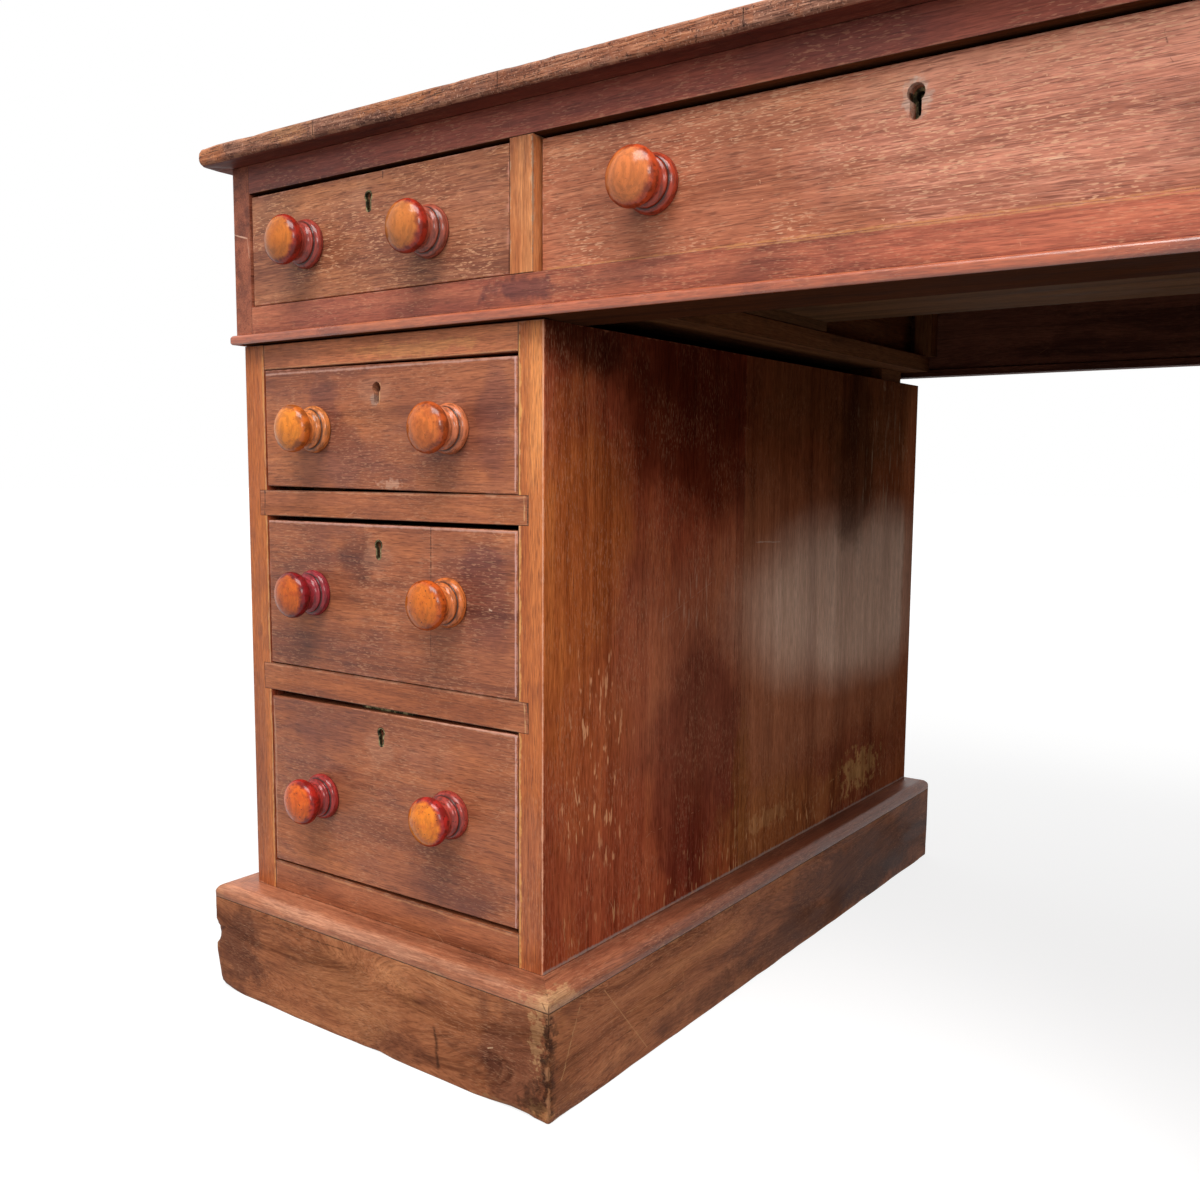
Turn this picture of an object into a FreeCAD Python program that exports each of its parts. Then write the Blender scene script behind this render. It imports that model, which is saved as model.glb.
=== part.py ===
import FreeCAD, Part
import os

os.makedirs("parts", exist_ok=True)
V = FreeCAD.Vector

# A twin-pedestal writing desk, in millimetres. X runs along the desk, Y from its front to its
# back and Z up. The origin is on the floor, under the middle of the box round the whole desk.
# The left half is modelled and mirrored. A value whose name ends in share or shares is a part
# of the size that it is multiplied by.

# Plan of the desk
kneehole_width = 552.0
pedestal_width = 348.0
pedestal_depth = 743.0

# Plinth: four mitred boards under a mitred cap with a rounded edge
plinth_height = 100.0
plinth_cap_height = 12.0
plinth_cap_rounding = 9.0
plinth_cap_width = 46.0  # of each of its pieces, which run in under the case
plinth_reach = 28.0  # how far the plinth stands out at the front and the sides
plinth_back_reach = 12.5
plinth_board = 20.0
plinth_block = 32.0  # side of the square glue blocks in the corners
plinth_block_z = 6.0  # height of the glue blocks above the floor

# Pedestal case, from the floor up: the rails and the openings between them
outer_wall = 27.0
inner_wall = 24.5
bottom_rail = 27.0
deep_opening = 162.0
lower_divider = 24.5
middle_opening = 135.0
upper_divider = 23.0
shallow_opening = 106.5
top_rail = 22.0
rail_depth = 60.0
divider_housing = 10.0  # how far a divider's end is let into the side
wall_front_board = 305.0  # width of the front one of the two boards in a side
bottom_board = 12.0
back_panel = 12.0
back_rebate = 10.0
runner_width = 22.0
case_edge_rounding = 1.5

# Frieze: the low case that carries the top and holds three drawers
bead_height = 9.0
bead_nose_share = 0.35  # radius of the rounded nose, as a share of the strip's height
bead_reach = 4.5  # how far the bead stands out from the frieze's front
bead_end_reach = 3.2
bead_end_width = 25.2
frieze_reach = 8.0  # how far the frieze's front stands out from the pedestals
frieze_end = 22.0
frieze_bottom_rail = 23.5
frieze_opening = 97.0
frieze_top_rail = 24.5
frieze_rail_depth = 58.0
side_opening = 300.0  # width of the opening of each outer drawer
muntin = 22.0
frieze_runner = 18.0  # thickness of the boards that the drawers run on
frieze_runner_overlap = 25.0  # how far a runner reaches past its partition on each side
kicker_width = 20.0
back_board = 18.0
back_strip_height = 8.0
back_strip_depth = 22.0
batten_width = 22.0
batten_depth = 20.0
batten_offset = 11.0
locating_length = 60.0
locating_setback = 43.0  # distance of the locating blocks from the pedestal's back
locating_width = 40.0
locating_inset = 6.0  # distance of the inner locating blocks from the kneehole

# Top: a framed panel with a leather writing surface
top_thickness = 15.5
top_front_reach = 22.5
top_end_reach = 21.0
top_back_reach = 12.5
top_edge_rounding = 3.5
top_corner_rounding = 6.0
border_width = 75.0
border_pitch = 196.0  # length of one cross-grained border board
leather_thickness = 1.2
top_screw_length = 33.0
top_screw_radius = 2.2
top_screw_shares = (0.15, 0.5, 0.85)

# Drawers: fronts, boxes and their gaps in the openings
front_thickness = 21.0
front_side_gap = 1.2
frieze_side_gap = 1.8
front_bottom_gap = 0.8
upper_top_gap = 3.0
middle_top_gap = 4.0
lower_top_gap = 2.0
side_drawer_top_gap = 2.8
centre_drawer_top_gap = 2.4
front_rounding = 1.3
running_gap = 0.3
side_thickness = 11.0
side_top_gap = 4.5
dovetail_lap = 6.0
dovetail_spread = 2.2
dovetail_pitch = 36.0
dovetail_share = 0.36  # half a tail's narrow height, as a share of the tails' spacing
slip_width = 11.0
slip_height = 22.0
bottom_rise = 10.0
bottom_panel = 7.0
bottom_groove = 5.0
box_back = 9.0
box_back_drop = 3.0
pedestal_drawer_length = 700.0
frieze_drawer_length = 434.0
side_drawer_recess = 1.5
centre_drawer_recess = 8.0
stop_thickness = 6.0
stop_width = 42.0
stop_depth = 24.0
stop_shares = (0.2, 0.8)

# Turned knobs, in one profile: shares of the diameter out from the axis and out from the front
pedestal_knob = 40.0
frieze_knob = 40.5
knob_length_share = 0.919
knob_base_shares = ((0.488, 0.0), (0.503, 0.08), (0.428, 0.182))
knob_ring_shares = ((0.405, 0.198), (0.42, 0.23), (0.398, 0.262))
knob_cove_shares = ((0.385, 0.27), (0.335, 0.37), (0.3595, 0.4726))
knob_rim_shares = ((0.3595, 0.4726), (0.5, 0.64), (0.431, 0.7767))
spigot_radius = 8.0
spigot_setback = 1.5
spigot_gap = 0.1

# Knob and keyhole places: shares of the opening's width and height
side_knob_shares = ((0.251, 0.476), (0.729, 0.414))
centre_knob_shares = ((0.176, 0.506), (0.824, 0.506))
upper_knob_shares = ((0.23, 0.496), (0.766, 0.476))
middle_knob_shares = ((0.214, 0.51), (0.7545, 0.529))
lower_knob_shares = ((0.236, 0.454), (0.756, 0.521))
frieze_key_share = 0.5
pedestal_key_share = 0.486

# Locks: a brass plate, bent over the front's top edge, a case let into the wood, and a bolt
key_drop = 21.0  # keyhole centre below the top of the opening
lock_plate = 1.6
lock_plate_width = 62.0
lock_plate_height = 40.0
selvedge = 2.0
selvedge_depth = 13.0
lock_case_width = 46.0
lock_case_height = 34.0
lock_case_depth = 9.4
lock_pin_radius = 1.5
bolt_width = 18.0
bolt_thickness = 5.0
bolt_height = 22.0
bolt_leg = 4.0
bolt_head = 8.0
bolt_gap = 0.2
bolt_throw = 7.0
mortise_gap = 1.0
lock_screw_length = 9.0
lock_screw_radius = 1.3
screw_head_ratio = 2.0
screw_slot_share = 0.35
screw_fit = 0.05

# Keyholes: radius of the round part, width of the slot and the slot's end below the centre
thread_keyhole = (4.6, 6.6, 12.6)
inner_keyhole = (3.3, 3.8, 11.2)
worn_keyhole = (4.8, 5.6, 13.2)
wide_keyhole = (5.6, 7.2, 15.4)
thread_depth = 3.0

overrun = 5.0  # how far a cutting tool runs past the wood
on_plane = 0.001  # an edge this near a plane lies in it

# Heights
case_z = plinth_height
deep_z = case_z + bottom_rail
lower_divider_z = deep_z + deep_opening
middle_z = lower_divider_z + lower_divider
upper_divider_z = middle_z + middle_opening
shallow_z = upper_divider_z + upper_divider
top_rail_z = shallow_z + shallow_opening
pedestal_top = top_rail_z + top_rail
frieze_z = pedestal_top + bead_height
frieze_opening_z = frieze_z + frieze_bottom_rail
frieze_top_rail_z = frieze_opening_z + frieze_opening
frieze_top = frieze_top_rail_z + frieze_top_rail
desk_top = frieze_top + top_thickness

# Places across the left half, and from front to back
inner_x = -kneehole_width / 2
outer_x = inner_x - pedestal_width
bay_x = (outer_x + outer_wall, inner_x - inner_wall)
side_bay_x = (outer_x + frieze_end, outer_x + frieze_end + side_opening)
muntin_x = (side_bay_x[1], side_bay_x[1] + muntin)
centre_bay_x = (muntin_x[1], -muntin_x[1])
knob_reach = frieze_reach - side_drawer_recess + frieze_knob * knob_length_share
front_reach = max(knob_reach, plinth_reach, frieze_reach + top_front_reach)
back_reach = max(plinth_back_reach, top_back_reach)
face_y = (front_reach - back_reach - pedestal_depth) / 2
back_y = face_y + pedestal_depth
frieze_y = face_y - frieze_reach
frieze_rail_y = (frieze_y, frieze_y + frieze_rail_depth)
frieze_inside_y = back_y - back_board
runner_end_y = back_y - back_strip_depth


def block(x, y, z):
    """A box between three pairs of bounds."""
    return Part.makeBox(x[1] - x[0], y[1] - y[0], z[1] - z[0], V(x[0], y[0], z[0]))


def prism(points, z):
    """A flat outline in plan, extruded between two heights."""
    ring = [V(x, y, z[0]) for x, y in points]
    return Part.Face(Part.makePolygon(ring + ring[:1])).extrude(V(0, 0, z[1] - z[0]))


def mirrored(solids):
    """The same pieces on the other side of the desk."""
    return [solid.mirror(V(0, 0, 0), V(1, 0, 0)) for solid in solids]


def both_sides(solids):
    return solids + mirrored(solids)


def rounded(solid, radius, chosen):
    """Rounds the edges whose ends all pass the test."""
    edges = [edge for edge in solid.Edges if all(chosen(v.Point) for v in edge.Vertexes)]
    return solid.makeFillet(radius, edges)


def at_y(y):
    return lambda point: abs(point.y - y) < on_plane


def level_edges(solid, chosen):
    """The level edges of a block whose ends pass the test."""
    level = [edge for edge in solid.Edges if abs(edge.Vertexes[0].Z - edge.Vertexes[-1].Z) < on_plane]
    return [edge for edge in level if all(chosen(v.Point) for v in edge.Vertexes)]


def mitred(ring, outer, inner, z):
    """Cuts a rectangular ring into its front, back, left and right pieces at the mitres."""
    (x0, x1), (y0, y1) = outer
    (a0, a1), (b0, b1) = inner
    wedges = (
        ((x0, y0), (x1, y0), (a1, b0), (a0, b0)),
        ((x0, y1), (a0, b1), (a1, b1), (x1, y1)),
        ((x0, y0), (a0, b0), (a0, b1), (x0, y1)),
        ((x1, y0), (x1, y1), (a1, b1), (a1, b0)),
    )
    return [ring.common(prism(points, z)).Solids[0] for points in wedges]


def grown(bounds, by):
    return (bounds[0] - by, bounds[1] + by)


def screw(length, radius, fit=0.0):
    """A countersunk screw that points up from a head at the origin, with fit added for its hole."""
    head = radius * screw_head_ratio
    cone = Part.makeCone(head + fit, radius + fit, head - radius)
    solid = cone.fuse(Part.makeCylinder(radius + fit, length)).removeSplitter()
    if fit:
        return solid
    slot = radius * screw_slot_share
    return solid.cut(block((-head, head), (-slot, slot), (0, slot)))


def keyhole(x, z, sizes, y):
    """A round hole with a slot below it, as a prism from front to back."""
    radius, slot, drop = sizes
    depth = y[1] - y[0]
    foot = z - drop + slot / 2
    solid = Part.makeCylinder(radius, depth, V(x, y[0], z), V(0, 1, 0))
    solid = solid.fuse(Part.makeCylinder(slot / 2, depth, V(x, y[0], foot), V(0, 1, 0)))
    return solid.fuse(block((x - slot / 2, x + slot / 2), y, (foot, z))).removeSplitter()


def knob(diameter, x, y, z):
    """A turned knob with its spigot. Its axis runs out of the drawer front at y."""
    arcs = (knob_base_shares, knob_ring_shares, knob_cove_shares, knob_rim_shares)
    spigot = spigot_setback - front_thickness
    start = V(0, -spigot, 0)
    edges = []
    path = [start, V(spigot_radius, -spigot, 0), V(spigot_radius, 0, 0)]
    for shares in arcs:
        first, middle, last = [V(r * diameter, -d * diameter, 0) for r, d in shares]
        for a, b in zip(path, path[1:] + [first]):
            if (b - a).Length > on_plane:
                edges.append(Part.LineSegment(a, b).toShape())
        edges.append(Part.Arc(first, middle, last).toShape())
        path = [last]
    tip = V(0, -knob_length_share * diameter, 0)
    rise = last.y - tip.y
    dome = (last.x**2 + rise**2) / (2 * rise)
    halfway = V(last.x / 2, tip.y + dome - (dome**2 - (last.x / 2) ** 2) ** 0.5, 0)
    edges.append(Part.Arc(last, halfway, tip).toShape())
    edges.append(Part.LineSegment(tip, start).toShape())
    face = Part.Face(Part.Wire(edges))
    turned = face.revolve(V(0, 0, 0), V(0, 1, 0), 360)
    solid = Part.makeSolid(turned.Shells[0])
    solid.translate(V(x, y, z))
    return solid


def bolt_place(x, y_front):
    """Where a drawer's bolt stands in plan: its bounds across and from front to back."""
    back = y_front + front_thickness - lock_plate - bolt_gap
    return (x - bolt_width / 2, x + bolt_width / 2), (back - bolt_thickness, back)


def bolt_mortise(drawer):
    """The hole in the rail above a drawer that its bolt goes up into."""
    bx, by = bolt_place(drawer["key_x"], drawer["y"])
    z = drawer["z"] + drawer["height"]
    return block(grown(bx, mortise_gap), grown(by, mortise_gap), (z - overrun, z + bolt_throw))


def lock(drawer, z_top):
    """The lock plate, its case, screws and bolt, and the tools that cut their seats in the front."""
    x = drawer["key_x"]
    key_z = drawer["z"] + drawer["height"] - key_drop
    y_back = drawer["y"] + front_thickness
    plate_x = (x - lock_plate_width / 2, x + lock_plate_width / 2)
    case_x = (x - lock_case_width / 2, x + lock_case_width / 2)
    bx, by = bolt_place(x, drawer["y"])
    seat_y = y_back - lock_plate
    case_y = (seat_y - lock_case_depth, seat_y)

    plate_box = block(plate_x, (seat_y, y_back), (z_top - lock_plate_height, z_top))
    edge_box = block(plate_x, (y_back - selvedge_depth, y_back), (z_top - selvedge, z_top))
    case_z_bounds = (z_top - selvedge - lock_case_height, z_top - selvedge)
    case_box = block(case_x, case_y, case_z_bounds)
    slot = block(grown(bx, bolt_gap), (by[0] - bolt_gap, seat_y), (z_top - overrun, z_top + overrun))
    pin_y = case_y[0] + lock_plate
    pin = Part.makeCylinder(lock_pin_radius, y_back - pin_y, V(x, pin_y, key_z), V(0, 1, 0))
    plate = plate_box.fuse(edge_box).removeSplitter().cut(slot)

    cavity_z = (z_top - bolt_height - bolt_throw, z_top)
    case = case_box.cut(block(grown(bx, bolt_gap), (by[0] - bolt_gap, seat_y), cavity_z))
    case = case.cut(keyhole(x, key_z, inner_keyhole, (case_y[0] - overrun, seat_y)))

    bolt_z = (z_top - bolt_gap - bolt_height, z_top - bolt_gap)
    notch = block(grown(bx, -bolt_leg), grown(by, overrun), (bolt_z[0] - overrun, bolt_z[1] - bolt_head))
    bolt = block(bx, by, bolt_z).cut(notch)

    screws = []
    holes = []
    wing = (lock_plate_width - lock_case_width) / 2
    for screw_x in (plate_x[0] + wing / 2, plate_x[1] - wing / 2):
        for screw_z in (z_top - lock_plate_height + wing, z_top - selvedge_depth):
            for fit, kept in ((0.0, screws), (screw_fit, holes)):
                solid = screw(lock_screw_length, lock_screw_radius, fit)
                solid.rotate(V(0, 0, 0), V(1, 0, 0), 90)
                solid.translate(V(screw_x, y_back, screw_z))
                kept.append(solid)
    plate = plate.cut(holes).fuse(pin).removeSplitter()
    pieces = [plate.Solids[0], case.Solids[0]] + screws
    return pieces, bolt, [plate_box, edge_box, case_box] + holes, key_z, case_y[0]


def drawer_tails(x, z, y_front):
    """The dovetails at the front end of a drawer side, as one solid each."""
    shoulder = y_front + front_thickness
    end = y_front + dovetail_lap
    count = max(2, round((z[1] - z[0]) / dovetail_pitch))
    pitch = (z[1] - z[0]) / count
    half = pitch * dovetail_share
    tails = []
    for index in range(count):
        middle = z[0] + pitch * (index + 0.5)
        points = (
            (shoulder, middle - half),
            (end, middle - half - dovetail_spread),
            (end, middle + half + dovetail_spread),
            (shoulder, middle + half),
        )
        ring = [V(x[0], py, pz) for py, pz in points]
        face = Part.Face(Part.makePolygon(ring + ring[:1]))
        tails.append(face.extrude(V(x[1] - x[0], 0, 0)))
    return tails


def drawer_box(drawer):
    """The two sides, the back, the bottom and the slips, and the tools that cut the front."""
    x = grown(drawer["x"], -drawer["side_gap"])
    y_front = drawer["y"]
    y = (y_front + front_thickness, y_front + drawer["length"])
    z = (drawer["z"] + running_gap, drawer["z"] + drawer["height"] - side_top_gap)
    bottom_z = (z[0] + bottom_rise, z[0] + bottom_rise + bottom_panel)
    slip_z = (z[0], z[0] + slip_height)
    groove_y = y[0] - bottom_groove
    inside = grown(x, -side_thickness)
    between = grown(inside, -slip_width)

    tools = []
    pieces = []
    for side_x in ((x[0], inside[0]), (inside[1], x[1])):
        tails = drawer_tails(side_x, z, y_front)
        tools += tails
        pieces.append(block(side_x, y, z).fuse(tails).removeSplitter())
    panel_x = grown(between, bottom_groove)
    panel = block(panel_x, (groove_y, y[1]), bottom_z)
    tools.append(panel)
    for slip_x in ((inside[0], between[0]), (between[1], inside[1])):
        pieces.append(block(slip_x, y, slip_z).cut(panel))
    back_z = (bottom_z[1], z[1] - box_back_drop)
    back = block(inside, (y[1] - box_back, y[1]), back_z)
    for slip_x in ((inside[0], between[0]), (between[1], inside[1])):
        back = back.cut(block(slip_x, (y[0], y[1] + overrun), slip_z))
    pieces += [back, panel]
    return pieces, tools


def make_drawer(drawer):
    """All the pieces of one drawer, by the last word of their node's name."""
    x = grown(drawer["x"], -drawer["side_gap"])
    y_front = drawer["y"]
    z = (drawer["z"] + front_bottom_gap, drawer["z"] + drawer["height"] - drawer["top_gap"])
    front = block(x, (y_front, y_front + front_thickness), z)
    front = rounded(front, front_rounding, at_y(y_front))
    box, tools = drawer_box(drawer)
    lock_pieces, bolt, seats, key_z, case_front = lock(drawer, z[1])
    tools += seats

    through = (y_front - overrun, case_front)
    if drawer["keyhole"] is thread_keyhole:
        recess = (y_front, y_front + thread_depth)
        thread = keyhole(drawer["key_x"], key_z, thread_keyhole, recess)
        tools.append(keyhole(drawer["key_x"], key_z, thread_keyhole, (through[0], recess[1])))
        tools.append(keyhole(drawer["key_x"], key_z, inner_keyhole, through))
        bore = (through[0], recess[1] + overrun)
        lock_pieces.append(thread.cut(keyhole(drawer["key_x"], key_z, inner_keyhole, bore)))
    else:
        tools.append(keyhole(drawer["key_x"], key_z, drawer["keyhole"], through))

    knobs = []
    width = drawer["x"][1] - drawer["x"][0]
    for x_share, z_share in drawer["knob_shares"]:
        knob_x = drawer["x"][0] + width * x_share
        knob_z = drawer["z"] + drawer["height"] * z_share
        knobs.append(knob(drawer["knob"], knob_x, y_front, knob_z))
        hole_at = V(knob_x, y_front - overrun, knob_z)
        hole_length = front_thickness + overrun * 2
        tools.append(Part.makeCylinder(spigot_radius + spigot_gap, hole_length, hole_at, V(0, 1, 0)))
    front = front.cut(tools)
    return {"front": [front], "box": box, "knobs": knobs, "lock": lock_pieces, "bolt": [bolt]}


def drawer_stops(drawer):
    """The two blocks on the rail that the drawer front shuts against."""
    width = drawer["x"][1] - drawer["x"][0]
    y = drawer["y"] + front_thickness + running_gap
    stops = []
    for share in stop_shares:
        x = drawer["x"][0] + width * share
        bounds = (x - stop_width / 2, x + stop_width / 2)
        stops.append(block(bounds, (y, y + stop_depth), (drawer["z"], drawer["z"] + stop_thickness)))
    return stops


def pedestal_drawer(z, height, top_gap, knob_shares, keyhole_sizes):
    """A pedestal drawer's opening, its gaps, its front's plane, its length and its fittings."""
    return {
        "x": bay_x,
        "z": z,
        "height": height,
        "side_gap": front_side_gap,
        "top_gap": top_gap,
        "y": face_y,
        "length": pedestal_drawer_length,
        "knob": pedestal_knob,
        "knob_shares": knob_shares,
        "key_x": bay_x[0] + (bay_x[1] - bay_x[0]) * pedestal_key_share,
        "keyhole": keyhole_sizes,
    }


def frieze_drawer(x, recess, top_gap, knob_shares, keyhole_sizes):
    """The same facts about a drawer of the frieze."""
    return {
        "x": x,
        "z": frieze_opening_z,
        "height": frieze_opening,
        "side_gap": frieze_side_gap,
        "top_gap": top_gap,
        "y": frieze_y + recess,
        "length": frieze_drawer_length,
        "knob": frieze_knob,
        "knob_shares": knob_shares,
        "key_x": x[0] + (x[1] - x[0]) * frieze_key_share,
        "keyhole": keyhole_sizes,
    }


pedestal_drawers = {
    "upper": pedestal_drawer(shallow_z, shallow_opening, upper_top_gap, upper_knob_shares, worn_keyhole),
    "middle": pedestal_drawer(middle_z, middle_opening, middle_top_gap, middle_knob_shares, thread_keyhole),
    "lower": pedestal_drawer(deep_z, deep_opening, lower_top_gap, lower_knob_shares, thread_keyhole),
}
side_drawer = frieze_drawer(
    side_bay_x, side_drawer_recess, side_drawer_top_gap, side_knob_shares, thread_keyhole
)
centre_drawer = frieze_drawer(
    centre_bay_x, centre_drawer_recess, centre_drawer_top_gap, centre_knob_shares, wide_keyhole
)


def plinth():
    """Four mitred boards, with a mitred cap on them that the case stands on."""
    x = (outer_x - plinth_reach, inner_x + plinth_reach)
    y = (face_y - plinth_reach, back_y + plinth_back_reach)
    inner = (grown(x, -plinth_board), grown(y, -plinth_board))
    board_z = (0, plinth_height - plinth_cap_height)
    ring = block(x, y, board_z).cut(block(*inner, board_z))
    pieces = mitred(ring, (x, y), inner, board_z)

    z = (board_z[1], plinth_height)
    w = plinth_cap_width
    caps = (
        (x, (y[0], y[0] + w), lambda p: p.y < y[0] + on_plane),
        (x, (y[1] - w, y[1]), lambda p: p.y > y[1] - on_plane),
        ((x[0], x[0] + w), y, lambda p: p.x < x[0] + on_plane),
        ((x[1] - w, x[1]), y, lambda p: p.x > x[1] - on_plane),
    )
    wedges = (
        ((x[0], y[0]), (x[1], y[0]), (x[1] - w, y[0] + w), (x[0] + w, y[0] + w)),
        ((x[0], y[1]), (x[0] + w, y[1] - w), (x[1] - w, y[1] - w), (x[1], y[1])),
        ((x[0], y[0]), (x[0] + w, y[0] + w), (x[0] + w, y[1] - w), (x[0], y[1])),
        ((x[1], y[0]), (x[1], y[1]), (x[1] - w, y[1] - w), (x[1] - w, y[0] + w)),
    )
    for (cap_x, cap_y, outside), wedge in zip(caps, wedges):
        cap = block(cap_x, cap_y, z)
        edges = level_edges(cap, lambda p: outside(p) and p.z > z[1] - on_plane)
        cap = cap.makeFillet(plinth_cap_rounding, edges)
        pieces.append(cap.common(prism(wedge, z)).Solids[0])
    return pieces


def plinth_blocks():
    """Square glue blocks upright in the plinth's corners, under the cap."""
    x = grown((outer_x - plinth_reach, inner_x + plinth_reach), -plinth_board)
    y = grown((face_y - plinth_reach, back_y + plinth_back_reach), -plinth_board)
    z = (plinth_block_z, plinth_height - plinth_cap_height)
    blocks = []
    for block_x in ((x[0], x[0] + plinth_block), (x[1] - plinth_block, x[1])):
        for block_y in ((y[0], y[0] + plinth_block), (y[1] - plinth_block, y[1])):
            blocks.append(block(block_x, block_y, z))
    return blocks


def divider_housings(inside, outward):
    """The slots in a side's front edge that the dividers' ends are let into."""
    end = inside + outward * divider_housing
    x = (min(inside, end), max(inside, end))
    y = (face_y - overrun, face_y + rail_depth)
    bounds = ((lower_divider_z, middle_z), (upper_divider_z, shallow_z))
    return [block(x, y, z) for z in bounds]


def pedestal_sides():
    """The outer and inner side of a pedestal, each glued up from two upright boards."""
    z = (case_z, pedestal_top)
    split = face_y + wall_front_board
    walls = ((outer_x, bay_x[0], bay_x[0], -1), (bay_x[1], inner_x, bay_x[1], 1))
    boards = []
    for x0, x1, inside, outward in walls:
        rebate = sorted((inside, inside + outward * back_rebate))
        rebate_tool = block(rebate, (back_y - back_panel, back_y + overrun), grown(z, overrun))
        housings = divider_housings(inside, outward)
        front = block((x0, x1), (face_y, split), z)
        outside = x0 if outward < 0 else x1
        chosen = lambda p: abs(p.x - outside) < on_plane and abs(p.y - face_y) < on_plane
        front = rounded(front, case_edge_rounding, chosen)
        boards.append(front.cut(housings))
        boards.append(block((x0, x1), (split, back_y), z).cut(rebate_tool))
    return boards


def pedestal_back():
    x = grown(bay_x, back_rebate)
    return block(x, (back_y - back_panel, back_y), (case_z, pedestal_top))


def pedestal_rails():
    """The rails between the drawers. The dividers' ends are let into the sides."""
    y = (face_y, face_y + rail_depth)
    low = block(bay_x, y, (case_z, deep_z))
    lower = block(grown(bay_x, divider_housing), y, (lower_divider_z, middle_z))
    upper = block(grown(bay_x, divider_housing), y, (upper_divider_z, shallow_z))
    high = block(bay_x, y, (top_rail_z, pedestal_top))
    lower = lower.cut(bolt_mortise(pedestal_drawers["lower"]))
    upper = upper.cut(bolt_mortise(pedestal_drawers["middle"]))
    high = high.cut(bolt_mortise(pedestal_drawers["upper"]))
    return [low, lower, upper, high]


def pedestal_boards():
    """The board that closes a pedestal's top and the one that closes its bottom."""
    y = (face_y + rail_depth, back_y - back_panel)
    top = block(bay_x, y, (top_rail_z, pedestal_top))
    return [top, block(bay_x, y, (case_z, case_z + bottom_board))]


def pedestal_runners():
    """A strip along each side, level with the rail in front of it, that a drawer runs on."""
    y = (face_y + rail_depth, back_y - back_panel)
    levels = ((case_z + bottom_board, deep_z), (lower_divider_z, middle_z), (upper_divider_z, shallow_z))
    runners = []
    for z in levels:
        runners.append(block((bay_x[0], bay_x[0] + runner_width), y, z))
        runners.append(block((bay_x[1] - runner_width, bay_x[1]), y, z))
    return runners


def locating_blocks():
    """Blocks on a pedestal's top, under the frieze's runners, that carry its back."""
    y1 = back_y - locating_setback
    z = (pedestal_top, frieze_opening_z - frieze_runner)
    inner = (inner_x - locating_inset - locating_width, inner_x - locating_inset)
    outer = (side_bay_x[0], side_bay_x[0] + frieze_runner_overlap)
    return [block(x, (y1 - locating_length, y1), z) for x in (inner, outer)]


def frieze_case():
    """The two ends of the frieze, its back and the strip under the back."""
    end = block((outer_x, side_bay_x[0]), (frieze_y, back_y), (frieze_z, frieze_top))
    x = (side_bay_x[0], -side_bay_x[0])
    strip_z = (frieze_z, frieze_z + back_strip_height)
    strip = block(x, (back_y - back_strip_depth, back_y), strip_z)
    back = block(x, (frieze_inside_y, back_y), (strip_z[1], frieze_top))
    return both_sides([end]) + [back, strip]


def frieze_rails():
    """The rails over and under the drawers, and the muntins between them."""
    x = (side_bay_x[0], -side_bay_x[0])
    low = block(x, frieze_rail_y, (frieze_z, frieze_opening_z))
    high = block(x, frieze_rail_y, (frieze_top_rail_z, frieze_top))
    side_mortise = [bolt_mortise(side_drawer)]
    high = high.cut(both_sides(side_mortise) + [bolt_mortise(centre_drawer)])
    post = block(muntin_x, frieze_rail_y, (frieze_opening_z, frieze_top_rail_z))
    return [low, high] + both_sides([post])


def kicker_bounds():
    """Across the left half: the strips at the top of each side of a partition, and at the end."""
    return (
        (side_bay_x[0], side_bay_x[0] + kicker_width),
        (muntin_x[0] - kicker_width, muntin_x[0]),
        (muntin_x[1], muntin_x[1] + kicker_width),
    )


def top_screw_places():
    """Where the screws go up through the kickers beside a partition."""
    length = frieze_inside_y - frieze_rail_y[1]
    places = []
    for x0, x1 in kicker_bounds()[1:]:
        for share in top_screw_shares:
            places.append(V((x0 + x1) / 2, frieze_rail_y[1] + length * share, frieze_top_rail_z))
    return places


def top_screws(fit=0.0):
    solids = []
    for place in top_screw_places():
        solid = screw(top_screw_length, top_screw_radius, fit)
        solid.translate(place)
        solids.append(solid)
    return both_sides(solids)


def frieze_runners():
    """Partitions behind the muntins, the boards that the drawers run on, and the kickers."""
    y = (frieze_rail_y[1], frieze_inside_y)
    runner_y = (frieze_rail_y[1], runner_end_y)
    runner_z = (frieze_opening_z - frieze_runner, frieze_opening_z)
    partition = block(muntin_x, y, (frieze_opening_z, frieze_top))
    wide = block(grown(muntin_x, frieze_runner_overlap), runner_y, runner_z)
    narrow = block((side_bay_x[0], side_bay_x[0] + frieze_runner_overlap), runner_y, runner_z)
    kickers = [block(x, y, (frieze_top_rail_z, frieze_top)) for x in kicker_bounds()]
    holes = top_screws(screw_fit)
    kickers = [kicker.cut(holes) for kicker in kickers]
    return both_sides([partition, wide, narrow] + kickers)


def back_battens():
    """Upright glue blocks where the wide runners meet the back of the frieze."""
    x0 = muntin_x[1] + batten_offset
    y = (frieze_inside_y - batten_depth, frieze_inside_y)
    z = (frieze_opening_z, frieze_top_rail_z)
    return both_sides([block((x0, x0 + batten_width), y, z)])


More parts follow.
